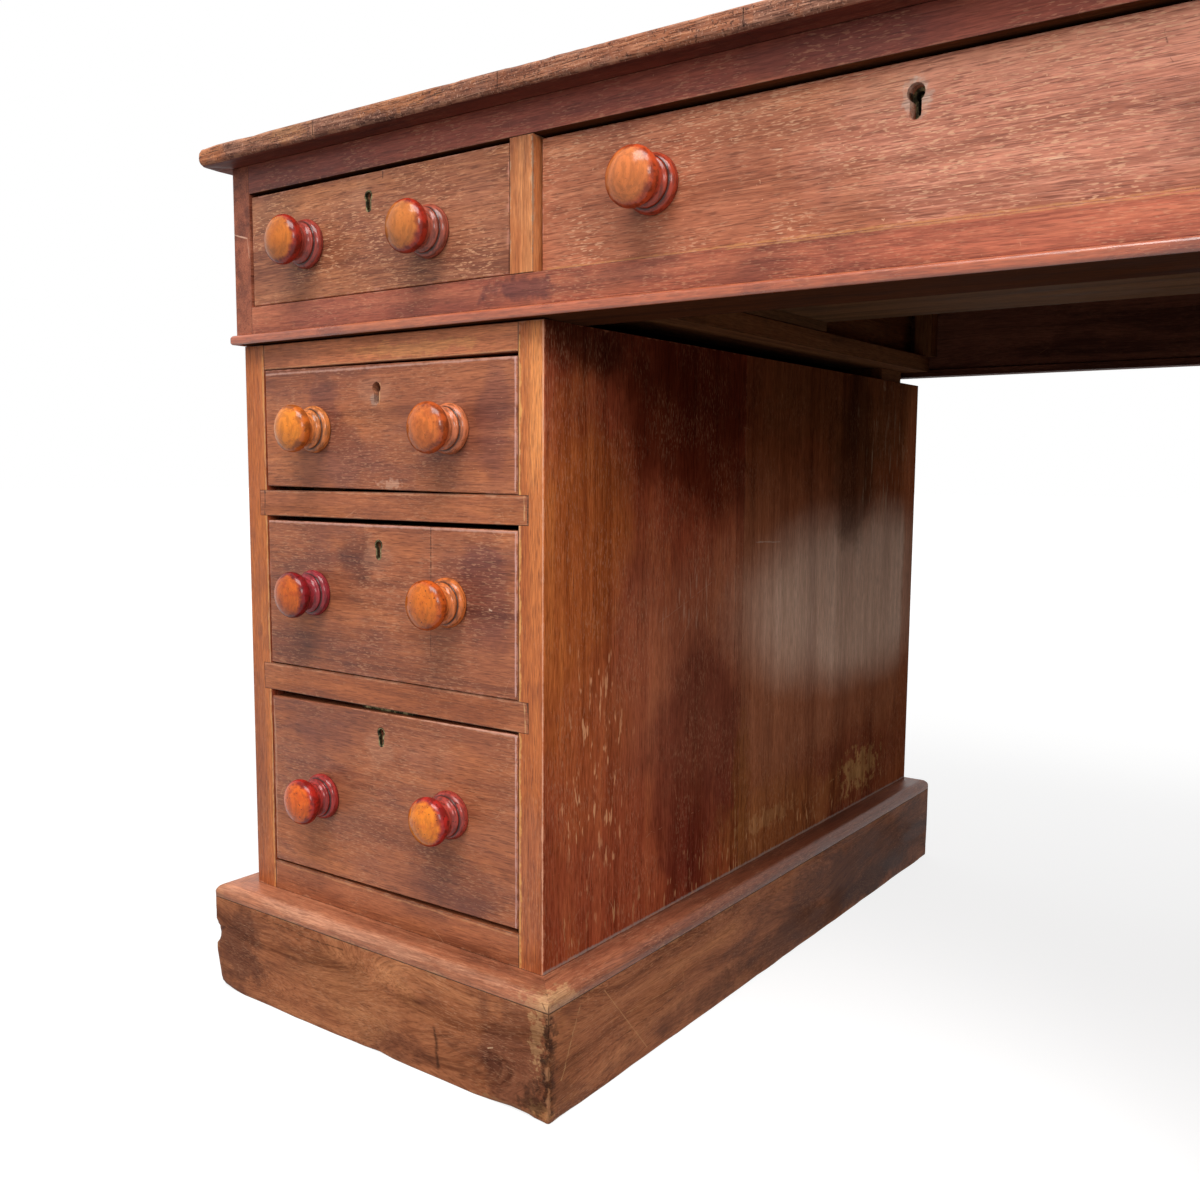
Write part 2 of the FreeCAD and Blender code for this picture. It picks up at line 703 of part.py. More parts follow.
def bead_moulding():
    """A strip with a rounded nose under the front rail and the ends, mitred at the corners."""
    x = (outer_x - bead_end_reach, -outer_x + bead_end_reach)
    y = (frieze_y - bead_reach, back_y)
    z = (pedestal_top, frieze_z)
    w = bead_end_width
    nose = bead_height * bead_nose_share
    front = block(x, (y[0], frieze_rail_y[1]), z)
    front = front.makeFillet(nose, level_edges(front, at_y(y[0])))
    outline = (
        (x[0], y[0]),
        (x[1], y[0]),
        (x[1] - w, y[0] + w),
        (x[1] - w, frieze_rail_y[1]),
        (x[0] + w, frieze_rail_y[1]),
        (x[0] + w, y[0] + w),
    )
    front = front.common(prism(outline, z)).Solids[0]
    end = block((x[0], x[0] + w), y, z)
    end = end.makeFillet(nose, level_edges(end, lambda p: p.x < x[0] + on_plane))
    outline = ((x[0], y[0]), (x[0] + w, y[0] + w), (x[0] + w, y[1]), (x[0], y[1]))
    end = end.common(prism(outline, z)).Solids[0]
    return [front] + both_sides([end])


def joint_places(low, high, clear):
    """Where a border is jointed: every pitch from the middle, clear of the corners."""
    middle = (low + high) / 2
    places = []
    offset = border_pitch / 2
    while middle + offset < high - clear:
        places += [middle - offset, middle + offset]
        offset += border_pitch
    return sorted(places)


def desk_top_pieces():
    """The core, the border of cross-grained boards round it and the leather let in on it."""
    x = (outer_x - top_end_reach, -outer_x + top_end_reach)
    y = (frieze_y - top_front_reach, back_y + top_back_reach)
    z = (frieze_top, desk_top)
    inner = (grown(x, -border_width), grown(y, -border_width))
    slab = block(x, y, z)
    upright = [e for e in slab.Edges if abs(e.Vertexes[0].Z - e.Vertexes[-1].Z) > on_plane]
    slab = slab.makeFillet(top_corner_rounding, upright)
    slab = slab.makeFillet(top_edge_rounding, level_edges(slab, lambda p: True))
    ring = slab.cut(block(*inner, z))
    front, back, left, right = mitred(ring, (x, y), inner, z)
    x_cuts = [x[0]] + joint_places(*x, border_width) + [x[1]]
    y_cuts = [y[0]] + joint_places(*y, border_width) + [y[1]]
    border = []
    for pair in zip(x_cuts, x_cuts[1:]):
        border += front.common(block(pair, y, z)).Solids + back.common(block(pair, y, z)).Solids
    for pair in zip(y_cuts, y_cuts[1:]):
        border += left.common(block(x, pair, z)).Solids + right.common(block(x, pair, z)).Solids
    core_z = (z[0], z[1] - leather_thickness)
    core = block(*inner, core_z).cut(top_screws(screw_fit))
    leather = block(*inner, (core_z[1], z[1]))
    return core, border, leather


def export(node, solids):
    Part.makeCompound(solids).exportStep("parts/" + node + ".step")


core, border, leather = desk_top_pieces()
export("top_core", [core])
export("top_border", border)
export("writing_leather", [leather])
export("top_screws", top_screws())
export("frieze_case", frieze_case())
export("frieze_rails", frieze_rails())
export("frieze_runners", frieze_runners())
export("bead_moulding", bead_moulding())
export("pedestal_sides", both_sides(pedestal_sides()))
export("pedestal_backs", both_sides([pedestal_back()]))
export("pedestal_rails", both_sides(pedestal_rails()))
export("pedestal_boards", both_sides(pedestal_boards()))
export("pedestal_runners", both_sides(pedestal_runners()))
export("plinths", both_sides(plinth()))

small_blocks = plinth_blocks() + locating_blocks() + drawer_stops(side_drawer)
for spec in pedestal_drawers.values():
    small_blocks += drawer_stops(spec)
export("wooden_blocks", both_sides(small_blocks) + drawer_stops(centre_drawer) + back_battens())

for level, spec in pedestal_drawers.items():
    for kind, solids in make_drawer(spec).items():
        export("left_" + level + "_" + kind, solids)
        export("right_" + level + "_" + kind, mirrored(solids))
for kind, solids in make_drawer(side_drawer).items():
    export("frieze_left_" + kind, solids)
    export("frieze_right_" + kind, mirrored(solids))
for kind, solids in make_drawer(centre_drawer).items():
    export("frieze_centre_" + kind, solids)
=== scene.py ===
import math
import random
from functools import partial

import bmesh
import bpy
from mathutils import Matrix, Vector, noise


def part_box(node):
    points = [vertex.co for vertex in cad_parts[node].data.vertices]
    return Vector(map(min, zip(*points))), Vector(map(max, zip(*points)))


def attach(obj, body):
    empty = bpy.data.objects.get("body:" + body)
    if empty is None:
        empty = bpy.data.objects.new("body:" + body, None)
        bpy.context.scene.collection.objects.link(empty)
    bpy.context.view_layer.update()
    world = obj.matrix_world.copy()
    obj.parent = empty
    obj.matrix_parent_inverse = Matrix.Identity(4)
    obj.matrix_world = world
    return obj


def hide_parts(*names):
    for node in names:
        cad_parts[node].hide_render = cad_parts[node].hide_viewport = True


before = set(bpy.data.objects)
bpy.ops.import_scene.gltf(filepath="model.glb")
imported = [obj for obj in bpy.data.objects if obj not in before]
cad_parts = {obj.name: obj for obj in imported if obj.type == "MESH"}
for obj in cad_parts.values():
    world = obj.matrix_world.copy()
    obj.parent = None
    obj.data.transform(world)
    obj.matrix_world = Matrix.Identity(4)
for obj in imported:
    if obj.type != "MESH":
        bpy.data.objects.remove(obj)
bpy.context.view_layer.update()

# The view. The desk is seen from the right of its middle, from a little below the drawers of its
# frieze, with the camera turned left towards the left pedestal and slightly down.
eye = Vector((0.2626, -1.02415, 0.4871))
turn, dip, tilt = math.radians(36.05), math.radians(6.2), math.radians(0.39)
forward = Vector((-math.sin(turn) * math.cos(dip), math.cos(turn) * math.cos(dip), -math.sin(dip)))
level = Vector((math.cos(turn), math.sin(turn), 0))
upright = level.cross(forward)
right = math.cos(tilt) * level + math.sin(tilt) * upright
up = math.cos(tilt) * upright - math.sin(tilt) * level
camera = bpy.data.objects.new("camera", bpy.data.cameras.new("camera"))
camera.data.lens = 34.57
camera.data.sensor_width = 36
camera.data.clip_start = 0.01
bpy.context.scene.collection.objects.link(camera)
camera.matrix_world = Matrix.Translation(eye) @ Matrix((right, up, -forward)).transposed().to_4x4()
bpy.context.scene.camera = camera
bpy.context.scene.view_settings.view_transform = "Standard"

# The stage. A plain white studio: a pale floor that keeps the desk's soft shadow, an even sky, a
# broad soft lamp above and in front of the left pedestal, and a weaker one lower on the right.
def feed(tree, socket, value):
    """Links a socket to an input, or writes a plain value on it."""
    if isinstance(value, bpy.types.NodeSocket):
        tree.links.new(value, socket)
    else:
        socket.default_value = value


def feed_all(tree, node, inputs):
    for key, value in inputs.items():
        feed(tree, node.inputs[key], value)


def add(tree, kind, inputs=None, **settings):
    """Adds a shader node with its settings and its inputs."""
    made = tree.nodes.new("ShaderNode" + kind)
    for key, value in settings.items():
        setattr(made, key, value)
    feed_all(tree, made, inputs or {})
    return made


def calc(tree, operation, first, second=0.0, clamp=False):
    made = add(tree, "Math", {0: first, 1: second}, operation=operation)
    made.use_clamp = clamp
    return made.outputs[0]


def ramp(tree, value, low, high, least=0.0, most=1.0):
    """The least up to the low value, the most from the high value on, and smooth between them."""
    made = add(tree, "MapRange", {"Value": value, "From Min": low, "From Max": high, "To Min": least,
                                  "To Max": most}, interpolation_type="SMOOTHSTEP")
    return made.outputs[0]


def shift(tree, operation, first, second=(0, 0, 0), scale=None):
    made = add(tree, "VectorMath", {0: first, 1: second}, operation=operation)
    if scale is not None:
        feed(tree, made.inputs["Scale"], scale)
    return made.outputs["Value" if operation in ("LENGTH", "DOT_PRODUCT", "DISTANCE") else "Vector"]


def object_place(tree):
    return add(tree, "TexCoord").outputs["Object"]


def attribute(tree, name):
    return add(tree, "Attribute", attribute_name=name).outputs["Vector"]


floor_mesh = bpy.data.meshes.new("floor")
shape = bmesh.new()
bmesh.ops.create_grid(shape, x_segments=1, y_segments=1, size=30)
shape.to_mesh(floor_mesh)
shape.free()
floor = bpy.data.objects.new("floor", floor_mesh)
bpy.context.scene.collection.objects.link(floor)


def seen_directly(tree):
    """One for a ray from the camera or from a glossy or clear surface, and zero for the rest."""
    path = add(tree, "LightPath").outputs
    glossy = calc(tree, "MAXIMUM", path["Is Camera Ray"], path["Is Glossy Ray"])
    return calc(tree, "MAXIMUM", glossy, path["Is Transmission Ray"])


paper = bpy.data.materials.new("white floor")
paper.use_nodes = True
tree = paper.node_tree
tree.nodes.clear()
matt = add(tree, "BsdfDiffuse", {"Color": (0.3, 0.3, 0.3, 1)})
from_desk = shift(tree, "LENGTH", object_place(tree))
near_and_far = ramp(tree, from_desk, 1.5, 4.0, 0.8, 1.0)
whiteness = calc(tree, "MULTIPLY", seen_directly(tree), near_and_far)
glow = add(tree, "Emission", {"Color": (1, 1, 1, 1), "Strength": whiteness})
both = add(tree, "AddShader", {0: matt.outputs[0], 1: glow.outputs[0]})
add(tree, "OutputMaterial", {"Surface": both.outputs[0]})
floor_mesh.materials.append(paper)

world = bpy.data.worlds.new("white room")
bpy.context.scene.world = world
world.use_nodes = True
tree = world.node_tree
tree.nodes.clear()
strength = ramp(tree, seen_directly(tree), 0.0, 1.0, 0.45, 1.0)
sky = add(tree, "Background", {"Color": (1, 1, 1, 1), "Strength": strength})
add(tree, "OutputWorld", {"Surface": sky.outputs[0]})

for name, place, target, size, power, warmth in (
    ("high lamp", (0.2, -1.6, 2.8), (-0.45, -0.36, 0.45), (1.9, 1.3), 86, (1.0, 0.99, 0.97)),
    ("side lamp", (1.9, -2.3, 1.5), (-0.3, -0.1, 0.3), (1.0, 1.0), 30, (1.0, 0.98, 0.95)),
):
    lamp = bpy.data.objects.new(name, bpy.data.lights.new(name, "AREA"))
    lamp.data.shape = "RECTANGLE"
    lamp.data.size, lamp.data.size_y = size
    lamp.data.energy = power
    lamp.data.color = warmth
    lamp.location = place
    lamp.rotation_euler = (Vector(place) - Vector(target)).to_track_quat("Z", "Y").to_euler()
    bpy.context.scene.collection.objects.link(lamp)


# Plinths. Each pedestal stands on four mitred boards under a mitred cap with a rounded edge. The
# boards are faced with figured mahogany, worn through at the corners by feet and brooms.
def mix(tree, share, first, second, blend="MIX"):
    made = add(tree, "Mix", data_type="RGBA", blend_type=blend)
    feed_all(tree, made, {0: share, 6: first, 7: second})
    return made.outputs[2]


def times(tree, first, second):
    return calc(tree, "MULTIPLY", first, second)


def plus(tree, first, second):
    return calc(tree, "ADD", first, second)


def minus(tree, first, second):
    return calc(tree, "SUBTRACT", first, second)


def lay(tree, under, over, mask, share):
    """One colour over another, as strongly as the mask and the share say."""
    return mix(tree, times(tree, mask, share), under, over)


def cloud(tree, place, scale=1.0, detail=3.0, rough=0.55, output="Fac"):
    made = add(tree, "TexNoise", {"Vector": place, "Scale": scale, "Detail": detail, "Roughness": rough})
    return made.outputs[output]


def stretched(tree, place, along, across, detail=3.0, rough=0.55):
    """Noise that is drawn out along the grain: so many changes a metre along it and across it."""
    return cloud(tree, shift(tree, "MULTIPLY", place, (along, across, across)), 1.0, detail, rough)


def effect(name, inputs, outputs):
    """An empty node group with its sockets, and the nodes at its two ends."""
    tree = bpy.data.node_groups.new(name, "ShaderNodeTree")
    kinds = {float: "NodeSocketFloat", tuple: "NodeSocketColor", Vector: "NodeSocketVector"}
    for key, value in inputs.items():
        socket = tree.interface.new_socket(key, in_out="INPUT", socket_type=kinds[type(value)])
        socket.default_value = value
    for key, kind in outputs.items():
        tree.interface.new_socket(key, in_out="OUTPUT", socket_type=kinds[kind])
    return tree, tree.nodes.new("NodeGroupInput").outputs, tree.nodes.new("NodeGroupOutput").inputs


def use(tree, group, inputs):
    made = tree.nodes.new("ShaderNodeGroup")
    made.node_tree = group
    feed_all(tree, made, inputs)
    return made.outputs


# Grain: broad bands that wander along the board, streaks, fine fibres and short dark pores.
grain, given, gives = effect(
    "mahogany grain",
    {"Along": Vector(), "Dark": (0, 0, 0, 1), "Middle": (0, 0, 0, 1), "Light": (0, 0, 0, 1),
     "Figure": 0.02, "Fibre": 0.3, "Streak": 0.4},
    {"Color": tuple, "Height": float},
)
wander = cloud(grain, shift(grain, "MULTIPLY", given["Along"], (2.2, 9, 9)), 1.0, 2.0, output="Color")
swing = shift(grain, "SCALE", shift(grain, "SUBTRACT", wander, (0.5, 0.5, 0.5)), scale=given["Figure"])
bent = shift(grain, "ADD", given["Along"], swing)
bands = stretched(grain, bent, 1.6, 42, 5.0, 0.62)
streaks = stretched(grain, bent, 5.5, 190, 3.0, 0.6)
fibres = stretched(grain, bent, 24, 640, 2.0)
pores = stretched(grain, bent, 70, 1300, 1.0)
tone = mix(grain, ramp(grain, bands, 0.32, 0.52), given["Dark"], given["Middle"])
tone = mix(grain, ramp(grain, bands, 0.5, 0.7), tone, given["Light"])
tone = lay(grain, tone, given["Dark"], ramp(grain, streaks, 0.5, 0.68), given["Streak"])
tone = lay(grain, tone, given["Light"], ramp(grain, fibres, 0.46, 0.7), given["Fibre"])
pits = times(grain, ramp(grain, pores, 0.54, 0.66), given["Fibre"])
deep = mix(grain, 1.0, given["Dark"], (0.5, 0.45, 0.45, 1), "MULTIPLY")
tone = mix(grain, pits, tone, deep)
crisp = ramp(grain, stretched(grain, bent, 75, 820, 3.0, 0.6), 0.36, 0.64)
crisp = mix(grain, crisp, (0.84, 0.81, 0.79, 1), (1.12, 1.12, 1.1, 1))
feed(grain, gives["Color"], mix(grain, 1.0, tone, crisp, "MULTIPLY"))
feed(grain, gives["Height"], minus(grain, times(grain, fibres, 0.5), pits))

# Edges: how far a point is from its board's nearest arris, turned into ragged wear and a dark joint.
edges, given, gives = effect(
    "board edges", {"Wear": 0.002, "Joint": 0.0005}, {"Worn": float, "Joint": float}
)
place = object_place(edges)
lowest = attribute(edges, "board_low")
highest = attribute(edges, "board_high")
nearest = shift(edges, "MINIMUM", shift(edges, "SUBTRACT", place, lowest),
                shift(edges, "SUBTRACT", highest, place))
axes = add(edges, "SeparateXYZ", {0: shift(edges, "ABSOLUTE", nearest)}).outputs
least = calc(edges, "MINIMUM", axes[0], calc(edges, "MINIMUM", axes[1], axes[2]))
most = calc(edges, "MAXIMUM", axes[0], calc(edges, "MAXIMUM", axes[1], axes[2]))
total = plus(edges, axes[0], plus(edges, axes[1], axes[2]))
away = minus(edges, minus(edges, total, least), most)
ragged = cloud(edges, place, 95.0, 4.0, 0.6)
reach = times(edges, given["Wear"], ramp(edges, ragged, 0.42, 0.75, 0.0, 2.6))
reach = plus(edges, reach, 1e-6)
feed(edges, gives["Worn"], calc(edges, "SUBTRACT", 1.0, calc(edges, "DIVIDE", away, reach), clamp=True))
seam = times(edges, given["Joint"], ramp(edges, ragged, 0.3, 0.7, 0.6, 1.4))
seam = plus(edges, seam, 1e-6)
feed(edges, gives["Joint"], calc(edges, "SUBTRACT", 1.0, calc(edges, "DIVIDE", away, seam), clamp=True))

# Handling: soft stains, faded places, pale dust in the pores and fine scratches.
age, given, gives = effect(
    "old surface", {"Along": Vector(), "Dust": 0.3, "Scratches": 0.3},
    {"Stain": float, "Fade": float, "Dust": float, "Scratch": float},
)
place = object_place(age)
feed(age, gives["Stain"], ramp(age, stretched(age, given["Along"], 9, 26, 4.0, 0.62), 0.5, 0.64))
moved = shift(age, "ADD", given["Along"], (3.1, 7.7, 1.9))
feed(age, gives["Fade"], ramp(age, stretched(age, moved, 7, 21, 4.0, 0.62), 0.5, 0.66))
dashes = ramp(age, stretched(age, given["Along"], 190, 1100, 1.0), 0.56, 0.66)
region = ramp(age, cloud(age, place, 19.0, 3.0), 0.36, 0.6)
specks = ramp(age, cloud(age, place, 420.0, 1.0), 0.76, 0.8)
dust = calc(age, "MAXIMUM", times(age, dashes, region), specks)
feed(age, gives["Dust"], calc(age, "MULTIPLY", dust, given["Dust"], clamp=True))
line = calc(age, "ABSOLUTE", minus(age, cloud(age, place, 9.0, 1.5, 0.45), 0.5))
broken = ramp(age, cloud(age, place, 38.0, 3.0), 0.57, 0.66)
scratch = times(age, ramp(age, line, 0.0, 0.0014, 1.0, 0.0), broken)
feed(age, gives["Scratch"], calc(age, "MULTIPLY", scratch, given["Scratches"], clamp=True))

# A soft patch of wear, dirt or bloom at one place.
patch, given, gives = effect(
    "patch", {"Centre": Vector(), "Size": Vector((1, 1, 1)), "Ragged": 0.5, "Fine": 40.0}, {"Mask": float}
)
place = object_place(patch)
apart = shift(patch, "DIVIDE", shift(patch, "SUBTRACT", place, given["Centre"]), given["Size"])
spread = minus(patch, cloud(patch, place, given["Fine"], 4.0, 0.65), 0.5)
spread = times(patch, spread, times(patch, given["Ragged"], 3.0))
radius = plus(patch, shift(patch, "LENGTH", apart), spread)
feed(patch, gives["Mask"], ramp(patch, radius, 0.45, 1.0, 1.0, 0.0))

# A scratch or crack from one point to another.
stroke, given, gives = effect(
    "stroke", {"From": Vector(), "To": Vector((1, 0, 0)), "Width": 0.001, "Wobble": 0.002}, {"Mask": float}
)
place = object_place(stroke)
wobble = shift(stroke, "SUBTRACT", cloud(stroke, place, 60.0, output="Color"), (0.5, 0.5, 0.5))
wobble = shift(stroke, "SCALE", wobble, scale=given["Wobble"])
along = shift(stroke, "SUBTRACT", given["To"], given["From"])
here = shift(stroke, "SUBTRACT", shift(stroke, "ADD", place, wobble), given["From"])
part = calc(stroke, "DIVIDE", shift(stroke, "DOT_PRODUCT", here, along),
            shift(stroke, "DOT_PRODUCT", along, along), clamp=True)
gap = shift(stroke, "DISTANCE", here, shift(stroke, "SCALE", along, scale=part))
gap = calc(stroke, "DIVIDE", gap, given["Width"])
gap = plus(stroke, gap, times(stroke, cloud(stroke, place, 240.0, 2.0), 0.9))
feed(stroke, gives["Mask"], ramp(stroke, gap, 0.45, 1.15, 1.0, 0.0))


def tint(red, green, blue):
    """A colour as a screen shows it, as the light that a surface returns."""
    parts = [c / 255 for c in (red, green, blue)]
    return tuple(c / 12.92 if c < 0.04045 else ((c + 0.055) / 1.055) ** 2.4 for c in parts) + (1,)


def spot(box, across, up, turned=False):
    """A point on a front, or on a face turned to the kneehole, in shares of its width and height."""
    wide, deep = (1, 0) if turned else (0, 1)
    point = Vector()
    point[wide] = box[0][wide] + (box[1][wide] - box[0][wide]) * across
    point[deep] = box[1][deep] if turned else box[0][deep]
    point[2] = box[0][2] + (box[1][2] - box[0][2]) * up
    return point


def blot(box, across, up, paint, strength, ragged=0.5, fine=26.0, turned=False, deep=0.012,
         veil=0.0, dashes=()):
    """Paints a soft patch between two shares of the width and two of the height.

    Deep is how far back from the face it reaches, and a veil hides so much of the grain. Dashes, so
    many a metre along the grain and across it, break the patch up into short flecks.
    """
    soft_rim = 1.25
    middle = spot(box, sum(across) / 2, sum(up) / 2, turned)
    corner = spot(box, across[1], up[1], turned)
    half = (corner - middle) * soft_rim
    half[0 if turned else 1] = deep

    def painter(tree, colour, texture):
        mask = use(tree, patch, {"Centre": middle, "Size": half, "Ragged": ragged, "Fine": fine})["Mask"]
        if dashes:
            board = attribute(tree, "wood")
            flecks = ramp(tree, stretched(tree, board, *dashes, 2.0), 0.6, 0.68)
            mask = times(tree, mask, flecks)
        grained = mix(tree, 1.0, texture, tint(*paint), "MULTIPLY")
        if veil:
            grained = mix(tree, veil, grained, tint(*paint))
        return lay(tree, colour, grained, mask, strength)
    return painter


def stripe(box, start, end, width, paint, strength, wobble=0.002, turned=False):
    """Paints a scratch, crack, rubbed line or painted highlight from one place to another."""
    ends = {"From": spot(box, *start, turned), "To": spot(box, *end, turned)}

    def painter(tree, colour, texture):
        mask = use(tree, stroke, {**ends, "Width": width, "Wobble": wobble})["Mask"]
        return lay(tree, colour, tint(*paint), mask, strength)
    return painter


def painters(box, turned=False):
    """What rubs, stains or paints light and shade on one face, and what draws lines on it, in shares of its
    width and height.
    """
    return partial(blot, box, turned=turned), partial(stripe, box, turned=turned)


def new_material(name):
    material = bpy.data.materials.new(name)
    material.use_nodes = True
    return material, material.node_tree, material.node_tree.nodes["Principled BSDF"]


def relief(tree, height, strength, distance):
    bump = {"Height": height, "Strength": strength, "Distance": distance}
    return add(tree, "Bump", bump).outputs["Normal"]


def wood(name, dark, middle, light, stain, fade, figure=0.02, fibre=0.35, dust=0.35, scratches=0.4,
         worn=(190, 120, 72), wear=0.0016, joint=0.0007, rough=0.45, gloss=0.25, bump=0.35,
         stains=0.55, fades=0.5, pale=(214, 160, 124), streak=0.4, by_place=False, marks=()):
    """Old polished or bare wood: grain, stains, wear at the arrises, dark joints and single marks, some of
    them painted light and shade.
    """
    material, tree, shader = new_material(name)
    board = object_place(tree) if by_place else attribute(tree, "wood")
    figured = use(tree, grain, {"Along": board, "Dark": tint(*dark), "Middle": tint(*middle),
                                "Light": tint(*light), "Figure": figure, "Fibre": fibre, "Streak": streak})
    old = use(tree, age, {"Along": board, "Dust": dust, "Scratches": scratches})
    rims = use(tree, edges, {"Wear": wear, "Joint": joint})
    texture = mix(tree, 1.0, figured["Color"], tint(*middle), "DIVIDE")
    colour = figured["Color"]
    for kind, share, paint in (("Stain", stains, stain), ("Fade", fades, fade)):
        grained = mix(tree, 1.0, texture, tint(*paint), "MULTIPLY")
        colour = lay(tree, colour, grained, old[kind], share)
    for painter in marks:
        colour = painter(tree, colour, texture)
    colour = lay(tree, colour, tint(*pale), old["Dust"], 0.7)
    colour = lay(tree, colour, tint(*pale), old["Scratch"], 0.8)
    colour = lay(tree, colour, tint(*worn), rims["Worn"], 0.75)
    colour = mix(tree, rims["Joint"], colour, tint(34, 18, 12))
    dull = plus(tree, rough, times(tree, old["Fade"], 0.12))
    dull = plus(tree, dull, times(tree, calc(tree, "MAXIMUM", rims["Worn"], old["Dust"]), 0.2))
    height = minus(tree, figured["Height"], times(tree, rims["Joint"], 1.5))
    feed_all(tree, shader, {
        "Base Color": colour,
        "Roughness": plus(tree, dull, times(tree, old["Stain"], -0.05)),
        "Specular IOR Level": gloss,
        "Normal": relief(tree, height, bump, 0.0003),
    })
    return material


def longest(low, high):
    return max(range(3), key=lambda axis: high[axis] - low[axis])


def boards_of(shape):
    """The joined-up boards in a mesh, each as its vertices, in order of place."""
    left, boards = dict.fromkeys(shape.verts), []
    while left:
        found = [left.popitem()[0]]
        for vertex in found:
            for edge in vertex.link_edges:
                other = edge.other_vert(vertex)
                if other in left:
                    del left[other]
                    found.append(other)
        boards.append(found)
    return sorted(boards, key=lambda board: [round(end(vertex.co[axis] for vertex in board), 4)
                                             for end in (min, max) for axis in range(3)])


def in_order(shape):
    """Sorts what a mesh is made of by its place, so that each run gives the same mesh."""
    for elements, place in ((shape.verts, lambda vertex: vertex.co),
                            (shape.edges, lambda edge: edge.verts[0].co + edge.verts[1].co),
                            (shape.faces, lambda face: face.calc_center_median())):
        ordered = sorted(elements, key=lambda element: place(element)[:])
        ranks = {element: rank for rank, element in enumerate(ordered)}
        elements.sort(key=lambda element: ranks[element])
        elements.index_update()


def merged_copy(node):
    """A copy of a CAD node's mesh, each of its boards merged by itself and its flats made whole."""
    touching, nearly_flat = 2e-6, math.radians(0.4)
    shape = bmesh.new()
    shape.from_mesh(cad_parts[node].data)
    groups, members, loose = [], {}, set()
    for face in shape.faces:
        corners = [tuple(round(c, 6) for c in vertex.co) for vertex in face.verts]
        members.update(dict.fromkeys(face.verts))
        for pair in zip(corners, corners[1:] + corners[:1]):
            if pair[::-1] in loose:
                loose.remove(pair[::-1])
            else:
                loose.add(pair)
        if not loose:
            groups.append(list(members))
            members = {}
    for group in groups:
        bmesh.ops.remove_doubles(shape, verts=group, dist=touching)
    in_order(shape)
    bmesh.ops.dissolve_limit(shape, angle_limit=nearly_flat, verts=shape.verts, edges=shape.edges)
    in_order(shape)
    return shape


def ease(shape, width, shortest=0.004, least_angle=math.radians(35)):
    """Takes the sharpness off the long arrises, as a plane and years of hands do."""
    sharp = [edge for edge in shape.edges if edge.is_manifold and edge.calc_length() > shortest
             and edge.calc_face_angle() > least_angle]
    bmesh.ops.bevel(shape, geom=sharp, offset=width, offset_type="OFFSET", segments=2, profile=0.5,
                    affect="EDGES", clamp_overlap=True, material=-1)


def put(name, shape, nodes, body, materials, crease=None):
    """Makes a piece of a finished shape and puts it on its body. Edges above the crease stay sharp."""
    in_order(shape)
    mesh = bpy.data.meshes.new(name)
    shape.to_mesh(mesh)
    shape.free()
    mesh.shade_smooth()
    for material in materials:
        mesh.materials.append(material)
    piece = bpy.data.objects.new(name, mesh)
    bpy.context.scene.collection.objects.link(piece)
    if crease:
        mesh.set_sharp_from_angle(angle=crease)
        piece.modifiers.new("even shading", "WEIGHTED_NORMAL").keep_sharp = True
    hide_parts(*nodes)
    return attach(piece, body)


# An edge stays sharp from this angle on, and a face looks one way from this share of its normal on.
sharp_from = math.radians(38)
facing = 0.7


def finish_boards(name, shape, nodes, body, materials, grain_axis=longest, pick=None):
    """Writes each board's box on it and its place in a log of its own, and puts the piece on its body."""
    farthest = 3
    low_layer = shape.verts.layers.float_vector.new("board_low")
    high_layer = shape.verts.layers.float_vector.new("board_high")
    wood_layer = shape.verts.layers.float_vector.new("wood")
    for index, board in enumerate(boards_of(shape)):
        low = Vector([min(v.co[axis] for v in board) for axis in range(3)])
        high = Vector([max(v.co[axis] for v in board) for axis in range(3)])
        along = grain_axis(low, high)
        order = [along] + [axis for axis in range(3) if axis != along]
        chance = random.Random(name + str(index))
        offset = Vector([chance.uniform(-farthest, farthest) for _ in range(3)])
        for vertex in board:
            vertex[low_layer] = low
            vertex[high_layer] = high
            vertex[wood_layer] = Vector([vertex.co[axis] for axis in order]) + offset
        if pick:
            for face in {face for vertex in board for face in vertex.link_faces}:
                face.material_index = pick(low, high, face.normal)
    return put(name, shape, nodes, body, materials, crease=sharp_from)


def cut_across(shape, axis, places):
    """Cuts every board at some places along an axis, so that its faces can be worn in steps."""
    for place in places:
        normal, point = Vector(), Vector()
        normal[axis], point[axis] = 1, place
        bmesh.ops.bisect_plane(shape, geom=shape.verts[:] + shape.edges[:] + shape.faces[:], dist=1e-6,
                               plane_co=point, plane_no=normal)


def both_ends(low, high, distances):
    """Places at the same distances from the two ends of a span."""
    return [low + distance for distance in distances] + [high - distance for distance in distances]


def round_off(verts, low, high, radius, rough, least=0.0003, most=0.03, chips=()):
    """Wears the outer arrises of a box round, unevenly, and deeper where something broke away."""
    broad, fine = 35, 120
    for vertex in verts:
        place = vertex.co.copy()
        wear = radius + rough * (noise.noise(place * broad) + 0.6 * noise.noise(place * fine))
        for centre, depth, reach in chips:
            wear += depth * max(0.0, 1 - (place - Vector(centre)).length / reach)
        wear = min(max(wear, least), most)
        depths = [min(place[axis] - low[axis], high[axis] - place[axis]) for axis in range(3)]
        inside = [max(wear - depth, 0.0) for depth in depths]
        length = math.sqrt(sum(part * part for part in inside))
        if length <= wear:
            continue
        for axis in range(3):
            if inside[axis] > 0:
                move = wear - inside[axis] * wear / length - depths[axis]
                vertex.co[axis] += move if place[axis] - low[axis] < high[axis] - place[axis] else -move


